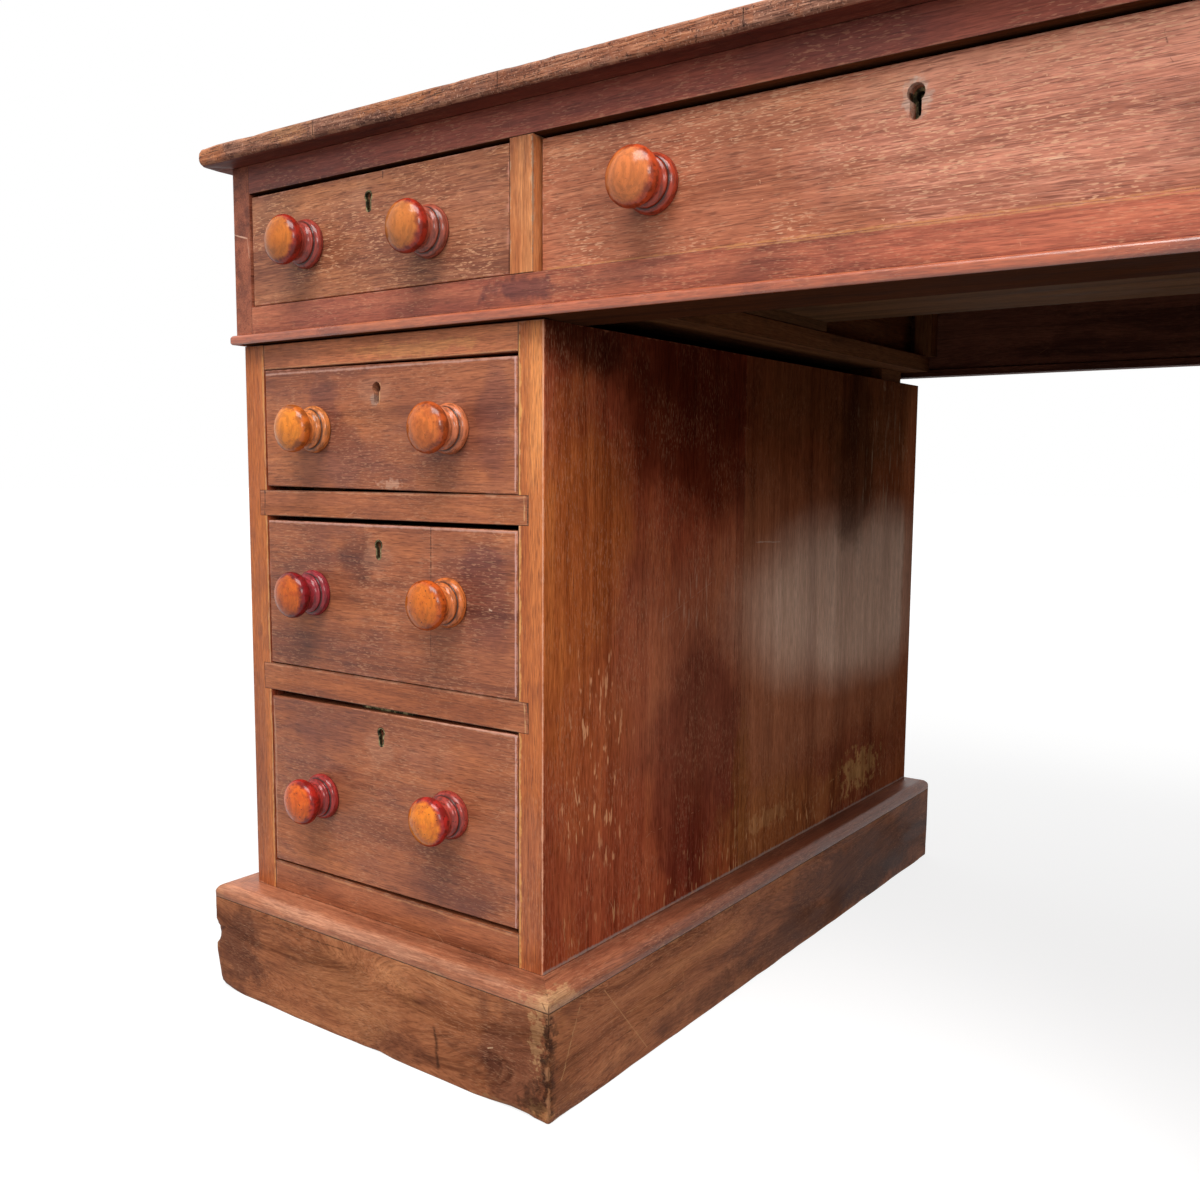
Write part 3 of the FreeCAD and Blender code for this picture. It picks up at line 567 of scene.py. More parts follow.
plinth_low, plinth_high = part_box("plinths")
plinth_width = 0.404
plinth_left = (plinth_low, Vector((plinth_low.x + plinth_width, plinth_high.y, plinth_high.z)))
plinth_right = (Vector((plinth_high.x - plinth_width, plinth_low.y, plinth_low.z)), plinth_high)
rub_and_light, line = painters(plinth_left)
side_rub_and_light, side_line = painters(plinth_left, turned=True)
plinth_marks = (
    rub_and_light((-0.02, 0.16), (0, 0.95), (74, 40, 34), 0.65, 0.7),
    rub_and_light((0.8, 1.02), (0, 0.9), (88, 50, 42), 0.55, 0.7),
    rub_and_light((0.28, 0.62), (0.1, 0.8), (168, 110, 74), 0.4, 0.7),
    rub_and_light((0.955, 0.99), (0.45, 0.95), (190, 146, 104), 0.6, 1.3, 190),
    rub_and_light((0.955, 1), (0, 0.16), (190, 140, 92), 0.6, 1.3, 190),
    rub_and_light((0.93, 1), (0.02, 0.3), (60, 36, 26), 0.7, 1, 90),
    rub_and_light((0.985, 1.01), (0, 0.92), (44, 28, 22), 0.85, 1, 130),
    line((0.71, 0.42), (0.718, 0.1), 0.0045, (46, 26, 18), 0.75, 0.008),
    line((0.85, 0.43), (0.863, 0.45), 0.0012, (214, 176, 140), 0.9),
    line((0.84, 0.03), (0.96, 0.04), 0.004, (150, 108, 76), 0.7, 0.006),
    line((0.3, 0.79), (0.44, 0.8), 0.0016, (44, 26, 18), 0.7, 0.004),
    line((0.05, 0.7), (0.2, 0.66), 0.0009, (200, 150, 116), 0.4, 0.006),
    line((0.62, 0.7), (0.8, 0.66), 0.0008, (200, 150, 116), 0.35, 0.008),
    line((0, 0.5), (0.03, 0.6), 0.004, (60, 30, 22), 0.7, 0.004),
    side_line((0.091, 0.8), (0.17, 0.075), 0.0011, (190, 136, 92), 0.8, 0.001),
    side_line((0.007, 0.605), (0.113, 0.574), 0.0007, (170, 118, 84), 0.7, 0.001),
    side_line((0.08, 0.3), (0.22, 0.36), 0.0008, (60, 30, 20), 0.7, 0.002),
    side_rub_and_light((0, 0.05), (0, 0.8), (150, 92, 58), 0.5, 0.9, 60),
    side_rub_and_light((0.2, 1), (0, 0.35), (64, 32, 22), 0.5, 0.6),
    side_rub_and_light((0.5, 1.05), (0, 0.9), (84, 44, 26), 0.6, 0.5),
    line((0.1, 0.845), (0.3, 0.8), 0.0012, (54, 30, 20), 0.7, 0.006),
    side_line((0.02, 0.3), (0.05, 0.8), 0.0016, (196, 150, 104), 0.6, 0.006),
    side_line((0.13, 0.5), (0.24, 0.44), 0.0009, (190, 136, 92), 0.6, 0.004),
    side_line((0.24, 0.6), (0.252, 0.1), 0.0008, (190, 136, 92), 0.5, 0.004),
    side_line((0.05, 0.81), (1, 0.81), 0.0012, (176, 118, 82), 0.45, 0.002),
)
plinth_board = wood("plinth board", (112, 62, 38), (162, 100, 68), (186, 122, 84), (96, 54, 40),
                    (176, 112, 76), figure=0.14, dust=0.3, wear=0.0024, joint=0.0009, stains=0.6,
                    gloss=0.04, worn=(190, 134, 96), marks=plinth_marks)
cap_marks_and_highlight = (
    rub_and_light((0.94, 1.03), (0.8, 1.1), (200, 156, 112), 0.45, 1.3, 190),
    rub_and_light((-0.02, 0.03), (0.8, 1.1), (190, 130, 92), 0.5, 0.9, 70),
    # Painted highlight: a pale pink band along the top of the cap's rounded front edge, where the lamp
    # above lights it.
    rub_and_light((0, 0.95), (0.93, 1.03), (206, 146, 116), 0.6, 0.5, 30),
    side_rub_and_light((0.02, 1.15), (0.72, 1.2), (116, 60, 42), 0.75, 0.3, 12, deep=0.05),
    side_rub_and_light((-0.01, 0.045), (0.8, 1.1), (200, 158, 114), 0.5, 1.3, 170),
    line((0, 0.828), (1, 0.828), 0.0014, (70, 42, 30), 0.5, 0.004),
    side_line((0.02, 0.945), (1, 0.945), 0.001, (176, 124, 92), 0.6, 0.003),
    line((0.975, 0.99), (1, 0.86), 0.0012, (60, 36, 26), 0.7, 0.004),
)
plinth_cap = wood("plinth cap", (128, 74, 50), (172, 106, 76), (194, 126, 92), (116, 66, 50),
                  (190, 122, 88), fibre=0.4, wear=0.0015, joint=0.0008, rough=0.38, gloss=0.3,
                  worn=(206, 150, 112), marks=cap_marks_and_highlight)
shape = merged_copy("plinths")
ease(shape, 0.0006)
near_ends = (0.001, 0.003, 0.006, 0.01, 0.015, 0.021, 0.028)
first_cut, next_cut = 0.04, 0.018
for box in (plinth_left, plinth_right):
    cut_across(shape, 0, both_ends(box[0].x, box[1].x, near_ends))
    cut_across(shape, 0, [box[0].x + first_cut + next_cut * step for step in range(19)])
cut_across(shape, 1, both_ends(plinth_low.y, plinth_high.y, near_ends))
cut_across(shape, 1, [plinth_low.y + first_cut + next_cut * step for step in range(40)])
cut_across(shape, 2, list(near_ends) + [0.034 + 0.004 * step for step in range(12)])
for box in (plinth_left, plinth_right):
    chance = random.Random(5)
    left, right_end, front, back = box[0].x, box[1].x, box[0].y, box[1].y
    chips = [((x, y, 0.0), chance.uniform(0.001, 0.006), chance.uniform(0.02, 0.04))
             for x in (left, right_end) for y in (front, back)]
    chips += [((chance.uniform(left, right_end), front, 0.0), chance.uniform(0.001, 0.004), 0.02)
              for _ in range(4)]
    if box is plinth_left:
        chips += [((left, front, 0.0), 0.006, 0.034), ((left, front, 0.053), 0.02, 0.011),
                  ((right_end, front, 0.0), -0.003, 0.03), ((right_end, front, 0.055), 0.004, 0.018),
                  ((right_end, front, 0.027), 0.004, 0.014), ((right_end - 0.045, front, 0.0), 0.004, 0.03)]
    middle = (plinth_left[1].x + plinth_right[0].x) / 2
    side = [vertex for vertex in shape.verts if (vertex.co.x < middle) == (box is plinth_left)]
    round_off(side, box[0], box[1], 0.0014, 0.0012, chips=chips)
cap_from = 0.08
finish_boards("plinths_worn", shape, ["plinths"], "desk", [plinth_board, plinth_cap],
              pick=lambda low, high, normal: 1 if low.z > cap_from else 0)

# Pedestal cases. Two sides of two boards each, with the dividers let into their front edges, a
# back panel in a rebate, and plain boards and runners inside that only an open drawer shows.
sides_low, sides_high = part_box("pedestal_sides")
pedestal_width = 0.348
kneehole = (sides_low, Vector((sides_low.x + pedestal_width, sides_high.y, sides_high.z)))
side_rub_and_light, side_line = painters(kneehole, turned=True)
kneehole_marks_and_light = (
    # Painted lamp light: the front part of the kneehole side made warmer and lighter, orange higher up and
    # red lower down.
    side_rub_and_light((-0.06, 0.16), (0.2, 0.93), (190, 104, 50), 0.6, 0.5, 9),
    side_rub_and_light((0.02, 0.3), (0.02, 0.52), (168, 84, 56), 0.55, 0.6, 8),
    # Painted shade: the upper part of the kneehole side darkened, most at the top, where the frieze and the
    # top above shadow it.
    side_rub_and_light((0.12, 0.44), (0.7, 1.1), (92, 34, 19), 0.85, 0.5, 9),
    side_rub_and_light((-0.05, 0.16), (0.93, 1.06), (70, 28, 18), 0.75, 0.5, 12),
    side_rub_and_light((0.44, 1.05), (0.8, 1.12), (116, 68, 38), 0.65, 0.5, 9),
    # Painted sheen: a pale greyish haze over the middle of the side that hides some grain, partly a bloom
    # in the old polish and partly a painted glancing reflection.
    side_rub_and_light((0.1, 1.12), (0.12, 0.74), (186, 122, 92), 0.45, 0.25, 5, veil=0.4),
    side_rub_and_light((0.4, 1.24), (0.31, 0.7), (238, 202, 178), 0.78, 0.1, 7, veil=0.45),
    # Painted shade: the upper rear of the side darkened, where the top and the right pedestal shadow it.
    side_rub_and_light((0.68, 0.84), (0.6, 1.04), (66, 36, 22), 0.6, 0.5, 14),
    side_rub_and_light((0.55, 1), (-0.05, 0.22), (122, 58, 40), 0.6, 0.5, 12),
    side_rub_and_light((0.2, 0.42), (0, 0.5), (98, 38, 32), 0.6, 0.6, 10),
    side_rub_and_light((0.76, 0.95), (0.62, 0.99), (196, 170, 140), 0.5, 0.8, 40, veil=1, dashes=(24, 380)),
    side_rub_and_light((0.955, 1.01), (0.1, 0.98), (156, 84, 52), 0.6, 0.3, 14),
    side_rub_and_light((0.74, 0.87), (0.04, 0.13), (196, 148, 92), 0.55, 1.3, 90),
    side_rub_and_light((0.42, 0.56), (0.06, 0.095), (200, 148, 100), 0.55, 1.3, 110),
    side_rub_and_light((0.36, 0.7), (-0.04, 0.16), (164, 100, 56), 0.5, 0.6, 20),
    side_rub_and_light((0.395, 0.44), (0.02, 0.3), (150, 92, 48), 0.5, 0.6, 40),
    side_line((0.392, 0), (0.392, 1), 0.0012, (36, 16, 10), 0.6, 0.0006),
    side_line((0.444, 0.646), (0.512, 0.642), 0.0014, (206, 178, 156), 0.7, 0.002),
    side_line((0.215, 0.522), (0.332, 0.579), 0.001, (176, 128, 104), 0.6, 0.004),
    side_line((0.255, 0.47), (0.3, 0.545), 0.0009, (176, 128, 104), 0.5, 0.003),
    side_line((0.17, 0.15), (0.313, 0.155), 0.0009, (190, 130, 100), 0.6, 0.016),
    side_rub_and_light((0.03, 0.15), (0.1, 0.52), (226, 160, 116), 0.8, 0.5, 30, veil=1, dashes=(52, 240)),
    side_rub_and_light((0.02, 0.95), (-0.02, 0.11), (214, 158, 110), 0.6, 0.6, 30, veil=1, dashes=(40, 260)),
    side_rub_and_light((0.2, 0.42), (0.5, 0.64), (200, 156, 130), 0.4, 0.6, 40, veil=1, dashes=(36, 300)),
    side_line((0.15, 0.215), (0.172, 0.105), 0.001, (196, 136, 100), 0.6, 0.01),
    side_line((0.255, 0.235), (0.262, 0.12), 0.001, (190, 130, 96), 0.55, 0.012),
    side_line((0.4, 0.18), (0.404, 0.03), 0.0012, (214, 168, 120), 0.6, 0.004),
    side_line((0.6, 0.06), (0.74, 0.1), 0.001, (190, 140, 96), 0.5, 0.006),
    side_line((0, 0.003), (1, 0.003), 0.0034, (156, 140, 132), 0.8, 0.001),
)
side_front = wood("front side boards", (120, 50, 30), (150, 70, 46), (170, 86, 56), (112, 42, 28),
                  (172, 90, 54), figure=0.012, fibre=0.5, wear=0.0012, joint=0.0005, stains=0.5,
                  fades=0.4, streak=0.3, rough=0.42, gloss=0.0, worn=(206, 130, 96), marks=kneehole_marks_and_light)
side_rear = wood("rear side boards", (114, 58, 34), (146, 80, 48), (168, 98, 62), (104, 54, 32),
                 (160, 92, 56), figure=0.012, fibre=0.5, dust=0.3, wear=0.0012, joint=0.0005, stains=0.45,
                 fades=0.4, streak=0.3, rough=0.42, gloss=0.0, worn=(180, 104, 70), marks=kneehole_marks_and_light)
rub_and_light, line = painters(kneehole)
stile_marks_and_highlight = (
    rub_and_light((0.925, 1), (0.72, 1.02), (214, 132, 76), 0.5, 0.5),
    rub_and_light((0.925, 1), (0, 0.3), (160, 92, 64), 0.5, 0.6),
    line((0.933, 0), (0.933, 0.98), 0.0026, (222, 166, 96), 0.75, 0.005),
    line((0.073, 0), (0.073, 0.98), 0.0022, (214, 156, 96), 0.7, 0.005),
    # Painted highlight: a thin pale pink line along the right arris of the right stile, where light catches
    # its rounding.
    line((0.9975, 0), (0.9975, 1), 0.0012, (232, 176, 150), 0.6, 0.001),
    rub_and_light((-0.01, 0.06), (0, 0.45), (140, 78, 52), 0.55, 0.5),
)
stile_wood = wood("stiles", (132, 62, 32), (174, 94, 50), (202, 120, 66), (112, 50, 30), (194, 112, 60),
                  figure=0.006, fibre=0.5, dust=0.3, wear=0.0015, joint=0.0006, stains=0.4, fades=0.4,
                  gloss=0.3, worn=(222, 158, 124), marks=stile_marks_and_highlight)
rail_marks_and_light = (
    # Painted light: the whole top rail lightened, against the shadow that the bead above casts on it.
    rub_and_light((-0.1, 1.1), (0.95, 1.03), (216, 132, 92), 0.6, 0.3, 12),
    rub_and_light((0.42, 0.8), (0.962, 0.985), (226, 160, 100), 0.4, 0.9, 70),
    line((0.08, 0.958), (0.93, 0.958), 0.0014, (206, 150, 104), 0.5, 0.003),
    line((0.05, 0.74), (0.95, 0.74), 0.0014, (206, 146, 112), 0.5, 0.003),
    line((0.05, 0.424), (0.95, 0.424), 0.0014, (206, 146, 112), 0.5, 0.003),
    line((0.08, 0.05), (0.93, 0.05), 0.0016, (206, 146, 100), 0.5, 0.003),
    rub_and_light((0.05, 0.3), (0.955, 1), (130, 72, 48), 0.5, 0.7),
    rub_and_light((0.05, 0.96), (0.375, 0.43), (134, 70, 42), 0.6, 0.6),
    line((0.068, 0.745), (0.068, 0.7), 0.0016, (26, 14, 10), 0.9, 0.003),
    line((0.955, 0.745), (0.957, 0.7), 0.0018, (26, 14, 10), 0.9, 0.004),
    line((0.955, 0.428), (0.957, 0.377), 0.002, (22, 12, 10), 0.9, 0.005),
    line((0.05, 0.428), (0.05, 0.377), 0.0016, (26, 14, 10), 0.9, 0.003),
    line((0.945, 0.742), (0.947, 0.705), 0.0014, (206, 160, 116), 0.7, 0.004),
    line((0.945, 0.425), (0.947, 0.38), 0.0014, (206, 160, 116), 0.7, 0.004),
)
rail_wood = wood("dividers", (124, 66, 40), (164, 96, 64), (188, 114, 74), (108, 56, 38), (184, 112, 70),
                 figure=0.008, fibre=0.4, dust=0.3, joint=0.0009, stains=0.45, fades=0.35, gloss=0.3,
                 worn=(206, 146, 112), marks=rail_marks_and_light)
plain_wood = wood("bare softwood", (96, 58, 34), (134, 86, 52), (156, 106, 68), (88, 54, 32),
                  (146, 98, 62), fibre=0.25, dust=0.3, worn=(112, 80, 54), wear=0.001, joint=0.0006,
                  rough=0.85, gloss=0.05, pale=(150, 116, 84))


front_board_from = -0.3


def side_finish(low, high, normal):
    """Fronts of the sides are stiles, and behind them each side's two boards differ in colour."""
    if normal.y < -facing:
        return 2
    return 0 if low.y < front_board_from else 1


shape = merged_copy("pedestal_sides")
ease(shape, 0.0007)
finish_boards("pedestal_sides_worn", shape, ["pedestal_sides"], "desk",
              [side_front, side_rear, stile_wood], pick=side_finish)
for node in ("pedestal_rails", "pedestal_backs", "pedestal_boards", "pedestal_runners", "wooden_blocks"):
    shape = merged_copy(node)
    ease(shape, 0.0006)
    slot, finish = ("case_wood", rail_wood) if node == "pedestal_rails" else ("plain_wood", plain_wood)
    finish_boards(node + "_worn", shape, [node], "desk", [finish])

# Frieze. A low case with a back board, two rails and two muntins in front, partitions and runner
# boards inside, and a moulded strip with a round nose under its front and ends.
frieze_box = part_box("frieze_rails")
rub_and_light, line = painters(frieze_box)
frieze_marks_and_light = (
    # Painted sheen: the right part of the lower rail lighter and pinker, as a glancing reflection on the
    # polish makes it.
    rub_and_light((0.38, 1), (0, 0.17), (190, 104, 80), 0.65, 0.4, 10),
    rub_and_light((0, 0.3), (0, 0.17), (140, 70, 56), 0.5, 0.5),
    rub_and_light((0.23, 0.29), (0.03, 0.14), (78, 36, 38), 0.75, 0.8, 50),
    # Darker plum along the top of the frieze: partly the rail's own tone and partly painted shadow of the
    # top's overhang.
    rub_and_light((-0.2, 1.2), (0.8, 1.05), (128, 58, 50), 0.65, 0.25, 12),
    rub_and_light((0.4, 0.52), (0.82, 1.02), (92, 46, 44), 0.5, 0.6, 16),
    line((0.4, 0.155), (1, 0.155), 0.0012, (206, 150, 96), 0.45, 0.002),
)
frieze_wood = wood("frieze rails", (104, 50, 38), (156, 84, 62), (178, 104, 76), (92, 44, 38),
                   (178, 102, 74), figure=0.008, dust=0.4, wear=0.001, joint=0.0006, rough=0.4, gloss=0.3,
                   worn=(196, 132, 104), marks=frieze_marks_and_light)
_, line = painters(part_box("frieze_case"))
case_marks = (
    line((0, 0.61), (0.0147, 0.575), 0.0014, (216, 170, 146), 0.9, 0.001),
    line((0.0147, 0.575), (0.0165, 0.46), 0.0011, (196, 146, 122), 0.65, 0.002),
)
case_wood = wood("frieze case", (98, 46, 34), (150, 84, 62), (170, 100, 74), (90, 42, 34), (162, 94, 66),
                 figure=0.008, dust=0.25, wear=0.0012, joint=0.0006, rough=0.42, gloss=0.2,
                 worn=(190, 120, 90), marks=case_marks)
apron_wood = wood("frieze back", (78, 46, 36), (118, 74, 58), (138, 90, 70), (80, 48, 38), (130, 84, 64),
                  figure=0.05, fibre=0.25, dust=0.1, wear=0.001, joint=0.0006, rough=0.6, gloss=0.05,
                  worn=(90, 56, 40))
muntin_wood = wood("muntins", (140, 74, 40), (178, 104, 60), (202, 128, 78), (124, 68, 46),
                   (200, 132, 84), figure=0.006, fibre=0.4, dust=0.25, joint=0.0008, gloss=0.3,
                   worn=(206, 172, 140))
bead_wood = wood("bead moulding", (118, 52, 34), (170, 88, 58), (192, 108, 72), (110, 50, 38),
                 (196, 112, 72), figure=0.006, fibre=0.3, dust=0.2, wear=0.0, joint=0.0005, rough=0.28,
                 gloss=0.8)
# Bare, rough wood for faces that look down, painted dark: partly its own tone and partly painted shade.
underside_wood_and_shade = wood("unpolished underside with painted shade", (48, 24, 14), (72, 38, 20), (88, 50, 28), (46, 24, 14),
                  (82, 46, 26), fibre=0.3, dust=0.2, worn=(120, 76, 46), wear=0.001, joint=0.0006,
                  rough=0.85, gloss=0.03, pale=(110, 76, 52))


def short(low, high):
    """Whether a board is under 0.1 m from left to right, as the muntins and the ends are."""
    return high.x - low.x < 0.1


def rail_finish(low, high, normal):
    """Rails and muntins are polished in front, and bare below, where they are darker, partly as painted
    shade.
    """
    if normal.z < -facing:
        return 2
    return 1 if short(low, high) else 0


def case_finish(low, high, normal):
    """The ends are polished, and the back is plainer."""
    if short(low, high):
        return 0
    return 1 if low.y > back_from else 2


back_from = 0.3
shape = merged_copy("frieze_case")
ease(shape, 0.0007)
finish_boards("frieze_case_worn", shape, ["frieze_case"], "desk",
              [case_wood, apron_wood, plain_wood], pick=case_finish)
shape = merged_copy("frieze_rails")
ease(shape, 0.0006)
finish_boards("frieze_rails_worn", shape, ["frieze_rails"], "desk",
              [frieze_wood, muntin_wood, underside_wood_and_shade], pick=rail_finish)
pedestal_face = sides_low.y
bead_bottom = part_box("bead_moulding")[0].z
bead_rise, step_back, step_forward, flat_bottom = 0.0016, 0.001, 0.0012, 0.0005
shape = merged_copy("bead_moulding")
cut_across(shape, 1, [pedestal_face - step_forward])
for vertex in shape.verts:
    if vertex.co.y < pedestal_face - step_back and vertex.co.z < bead_bottom + flat_bottom:
        vertex.co.z += bead_rise
# The bead's faces that look down take the same dark bare wood, partly painted shade.
finish_boards("bead_moulding_worn", shape, ["bead_moulding"], "desk", [bead_wood, underside_wood_and_shade],
              pick=lambda low, high, normal: 1 if normal.z < -0.9 else 0)
shape = merged_copy("frieze_runners")
ease(shape, 0.0006, shortest=0.01)
finish_boards("frieze_runners_worn", shape, ["frieze_runners"], "desk", [plain_wood])

# Drawers. Solid fronts with rounded arrises, dovetailed plain boxes, brass locks let into the top
# edge and a pair of turned and polished knobs on each.
front_tones = {
    "pedestal": dict(dark=(122, 68, 48), middle=(154, 90, 62), light=(176, 108, 74),
                     stain=(112, 62, 50), fade=(178, 106, 68), dust=0.45, fibre=0.5, streak=0.3),
    "frieze_side": dict(dark=(122, 70, 50), middle=(150, 92, 66), light=(180, 118, 84),
                        stain=(126, 72, 54), fade=(170, 106, 72), dust=1.0, fibre=0.6, streak=0.35,
                        pale=(208, 154, 118)),
    "frieze_middle": dict(dark=(142, 80, 56), middle=(174, 104, 76), light=(198, 128, 96),
                          stain=(150, 84, 62), fade=(194, 122, 88), dust=0.9, fibre=0.6, streak=0.35,
                          pale=(216, 166, 132)),
}
box_wood = wood("drawer linings", (88, 60, 36), (120, 84, 54), (140, 102, 68), (84, 58, 38),
                (130, 96, 64), figure=0.01, fibre=0.25, dust=0.2, worn=(140, 106, 74), wear=0.001,
                joint=0.0005, rough=0.8, gloss=0.06, pale=(160, 126, 92))


def across_if_wide(low, high):
    """Drawer bottoms, thinner than 8 mm, run from side to side, and the rest along its length."""
    return 0 if high.z - low.z < 0.008 else longest(low, high)


def give(node, material):
    """Puts a material on a CAD node that stays as it is."""
    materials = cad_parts[node].data.materials
    materials.clear()
    materials.append(material)


brass, tree, shader = new_material("aged brass")
tarnish = ramp(tree, cloud(tree, object_place(tree), 220.0, 4.0, 0.65), 0.36, 0.6)
feed_all(tree, shader, {
    "Base Color": mix(tree, tarnish, tint(150, 138, 100), tint(58, 54, 42)),
    "Roughness": plus(tree, 0.36, times(tree, tarnish, 0.35)),
    "Metallic": 1.0,
    "Normal": relief(tree, tarnish, 0.3, 0.0002),
})


def knob_finish(name, face, rim, foot, smudge, specks=0.3, smudges=0.5):
    """Glossy old polish over turned mahogany. The face, the rim and the foot differ in tone."""
    material, tree, shader = new_material(name)
    place = object_place(tree)
    turned = attribute(tree, "turning")
    outward, depth, _ = add(tree, "SeparateXYZ", {0: turned}).outputs
    fine = cloud(tree, shift(tree, "MULTIPLY", place, (210, 600, 70)), 1.0, 4.0, 0.6)
    mottle = cloud(tree, place, 130.0, 4.0, 0.6)
    face_colour = mix(tree, ramp(tree, fine, 0.4, 0.64), tint(*face), tint(*[c * 0.86 for c in face]))
    dirty = times(tree, ramp(tree, mottle, 0.46, 0.66), times(tree, smudges, 0.65))
    face_colour = mix(tree, dirty, face_colour, tint(*smudge))
    rim_colour = mix(tree, ramp(tree, mottle, 0.42, 0.6), tint(*rim), tint(*[c * 0.72 for c in rim]))
    foot_colour = mix(tree, ramp(tree, fine, 0.4, 0.62), tint(*foot), tint(*[c * 0.72 for c in foot]))
    edge = plus(tree, outward, times(tree, minus(tree, mottle, 0.5), 0.16))
    head = mix(tree, ramp(tree, edge, 0.38, 0.47), face_colour, rim_colour)
    whole = mix(tree, ramp(tree, depth, 0.42, 0.52), foot_colour, head)
    spots = ramp(tree, cloud(tree, place, 520.0, 2.0), 0.64, 0.72)
    whole = lay(tree, whole, tint(70, 26, 14), spots, specks)
    ring = calc(tree, "ABSOLUTE", minus(tree, depth, 0.192))
    groove = ramp(tree, ring, 0.008, 0.024, 1.0, 0.0)
    joint = ramp(tree, depth, 0.0, 0.03, 1.0, 0.0)
    dark = times(tree, calc(tree, "MAXIMUM", groove, joint), 0.85)
    feed_all(tree, shader, {
        "Base Color": mix(tree, dark, whole, tint(38, 22, 20)),
        "Roughness": ramp(tree, mottle, 0.3, 0.7, 0.22, 0.4),
        "Specular IOR Level": 0.0,
        "Coat Weight": 0.6,
        "Coat Roughness": 0.18,
        "Normal": relief(tree, mottle, 0.15, 0.0005),
    })
    return material


# Tones of the face, the rim, the foot and the smudges, and how much there is of specks and smudges.
knob_tones = {
    "amber": ((226, 130, 40), (196, 100, 36), (206, 120, 62), (176, 88, 32), 0.3, 0.5),
    "brown": ((206, 108, 46), (176, 78, 34), (198, 112, 72), (150, 66, 30), 0.4, 0.7),
    "crimson": ((196, 92, 28), (126, 20, 26), (150, 44, 52), (132, 30, 26), 0.5, 0.6),
    "speckled": ((206, 106, 30), (192, 84, 28), (204, 110, 54), (150, 56, 18), 0.9, 0.5),
    "red": ((216, 96, 26), (166, 34, 26), (160, 48, 44), (156, 46, 26), 0.8, 0.5),
    "gold": ((230, 128, 36), (172, 40, 36), (166, 62, 52), (176, 66, 26), 0.9, 0.5),
    "old": ((192, 106, 38), (150, 38, 26), (154, 62, 52), (150, 72, 28), 0.4, 0.5),
    "rosy": ((208, 116, 60), (182, 70, 36), (166, 62, 40), (178, 96, 54), 0.3, 0.4),
    "olive": ((194, 112, 50), (160, 44, 28), (158, 78, 60), (150, 76, 32), 0.3, 0.4),
}
knob_finishes = {tone: knob_finish(tone + " knob", *tones) for tone, tones in knob_tones.items()}


def arc(first, middle, last, steps):
    """Points along the circle through three points, from the first to the last but one."""
    a, b, c = (Vector(p) for p in (first, middle, last))
    size = 2 * (a.x * (b.y - c.y) + b.x * (c.y - a.y) + c.x * (a.y - b.y))
    squares = [p.length_squared for p in (a, b, c)]
    centre = Vector((
        sum(s * (q.y - r.y) for s, q, r in zip(squares, (b, c, a), (c, a, b))) / size,
        sum(s * (r.x - q.x) for s, q, r in zip(squares, (b, c, a), (c, a, b))) / size,
    ))
    angles = [math.atan2(p.y - centre.y, p.x - centre.x) for p in (a, b, c)]
    sweep = (angles[2] - angles[0] + math.pi) % (2 * math.pi) - math.pi
    arm = a - centre
    return [centre + Matrix.Rotation(sweep * step / steps, 2) @ arm for step in range(steps)]


# The knob's outline as arcs, each by three points: reach from the axis and distance out, in diameters.
knob_arcs = (
    ((0.488, 0.0), (0.503, 0.08), (0.428, 0.182)),
    ((0.405, 0.198), (0.42, 0.23), (0.398, 0.262)),
    ((0.385, 0.27), (0.335, 0.37), (0.3595, 0.4726)),
    ((0.3595, 0.4726), (0.5, 0.64), (0.431, 0.7767)),
)
knob_tip = 0.919


def turned_knob(name, node, body, diameter, x, y, z, finish):
    """A knob turned about its own axis, out from the drawer front at y."""
    arc_steps, dome_steps, turns = 9, 14, 56
    profile = [Vector((0.2, 0.0))]
    for points in knob_arcs:
        profile += arc(*points, arc_steps)
        if points is not knob_arcs[2]:
            profile.append(Vector(points[2]))
    shoulder = profile[-1]
    rise = knob_tip - shoulder.y
    dome = (shoulder.x**2 + rise**2) / (2 * rise)
    for step in range(1, dome_steps):
        across = shoulder.x * (1 - step / dome_steps)
        profile.append(Vector((across, knob_tip - dome + math.sqrt(dome**2 - across**2))))
    profile.append(Vector((0.0, knob_tip)))
    shape = bmesh.new()
    turning = shape.verts.layers.float_vector.new("turning")
    line = [shape.verts.new((point.x * diameter, -point.y * diameter, 0)) for point in profile]
    rim = [shape.edges.new(pair) for pair in zip(line, line[1:])]
    bmesh.ops.spin(shape, geom=line + rim, cent=(0, 0, 0), axis=(0, 1, 0), angle=2 * math.pi, steps=turns,
                   use_merge=True)
    bmesh.ops.remove_doubles(shape, verts=shape.verts, dist=1e-6)
    bmesh.ops.recalc_face_normals(shape, faces=shape.faces)
    heart = Vector((0, -0.5 * diameter, 0))
    if sum(face.normal.dot(face.calc_center_median() - heart) for face in shape.faces) < 0:
        bmesh.ops.reverse_faces(shape, faces=shape.faces)
    for vertex in shape.verts:
        reach = math.hypot(vertex.co.x, vertex.co.z) / diameter
        vertex[turning] = Vector((reach, -vertex.co.y / diameter, 0))
    bmesh.ops.translate(shape, verts=shape.verts, vec=(x, y, z))
    return put(name, shape, [node], body, [finish])


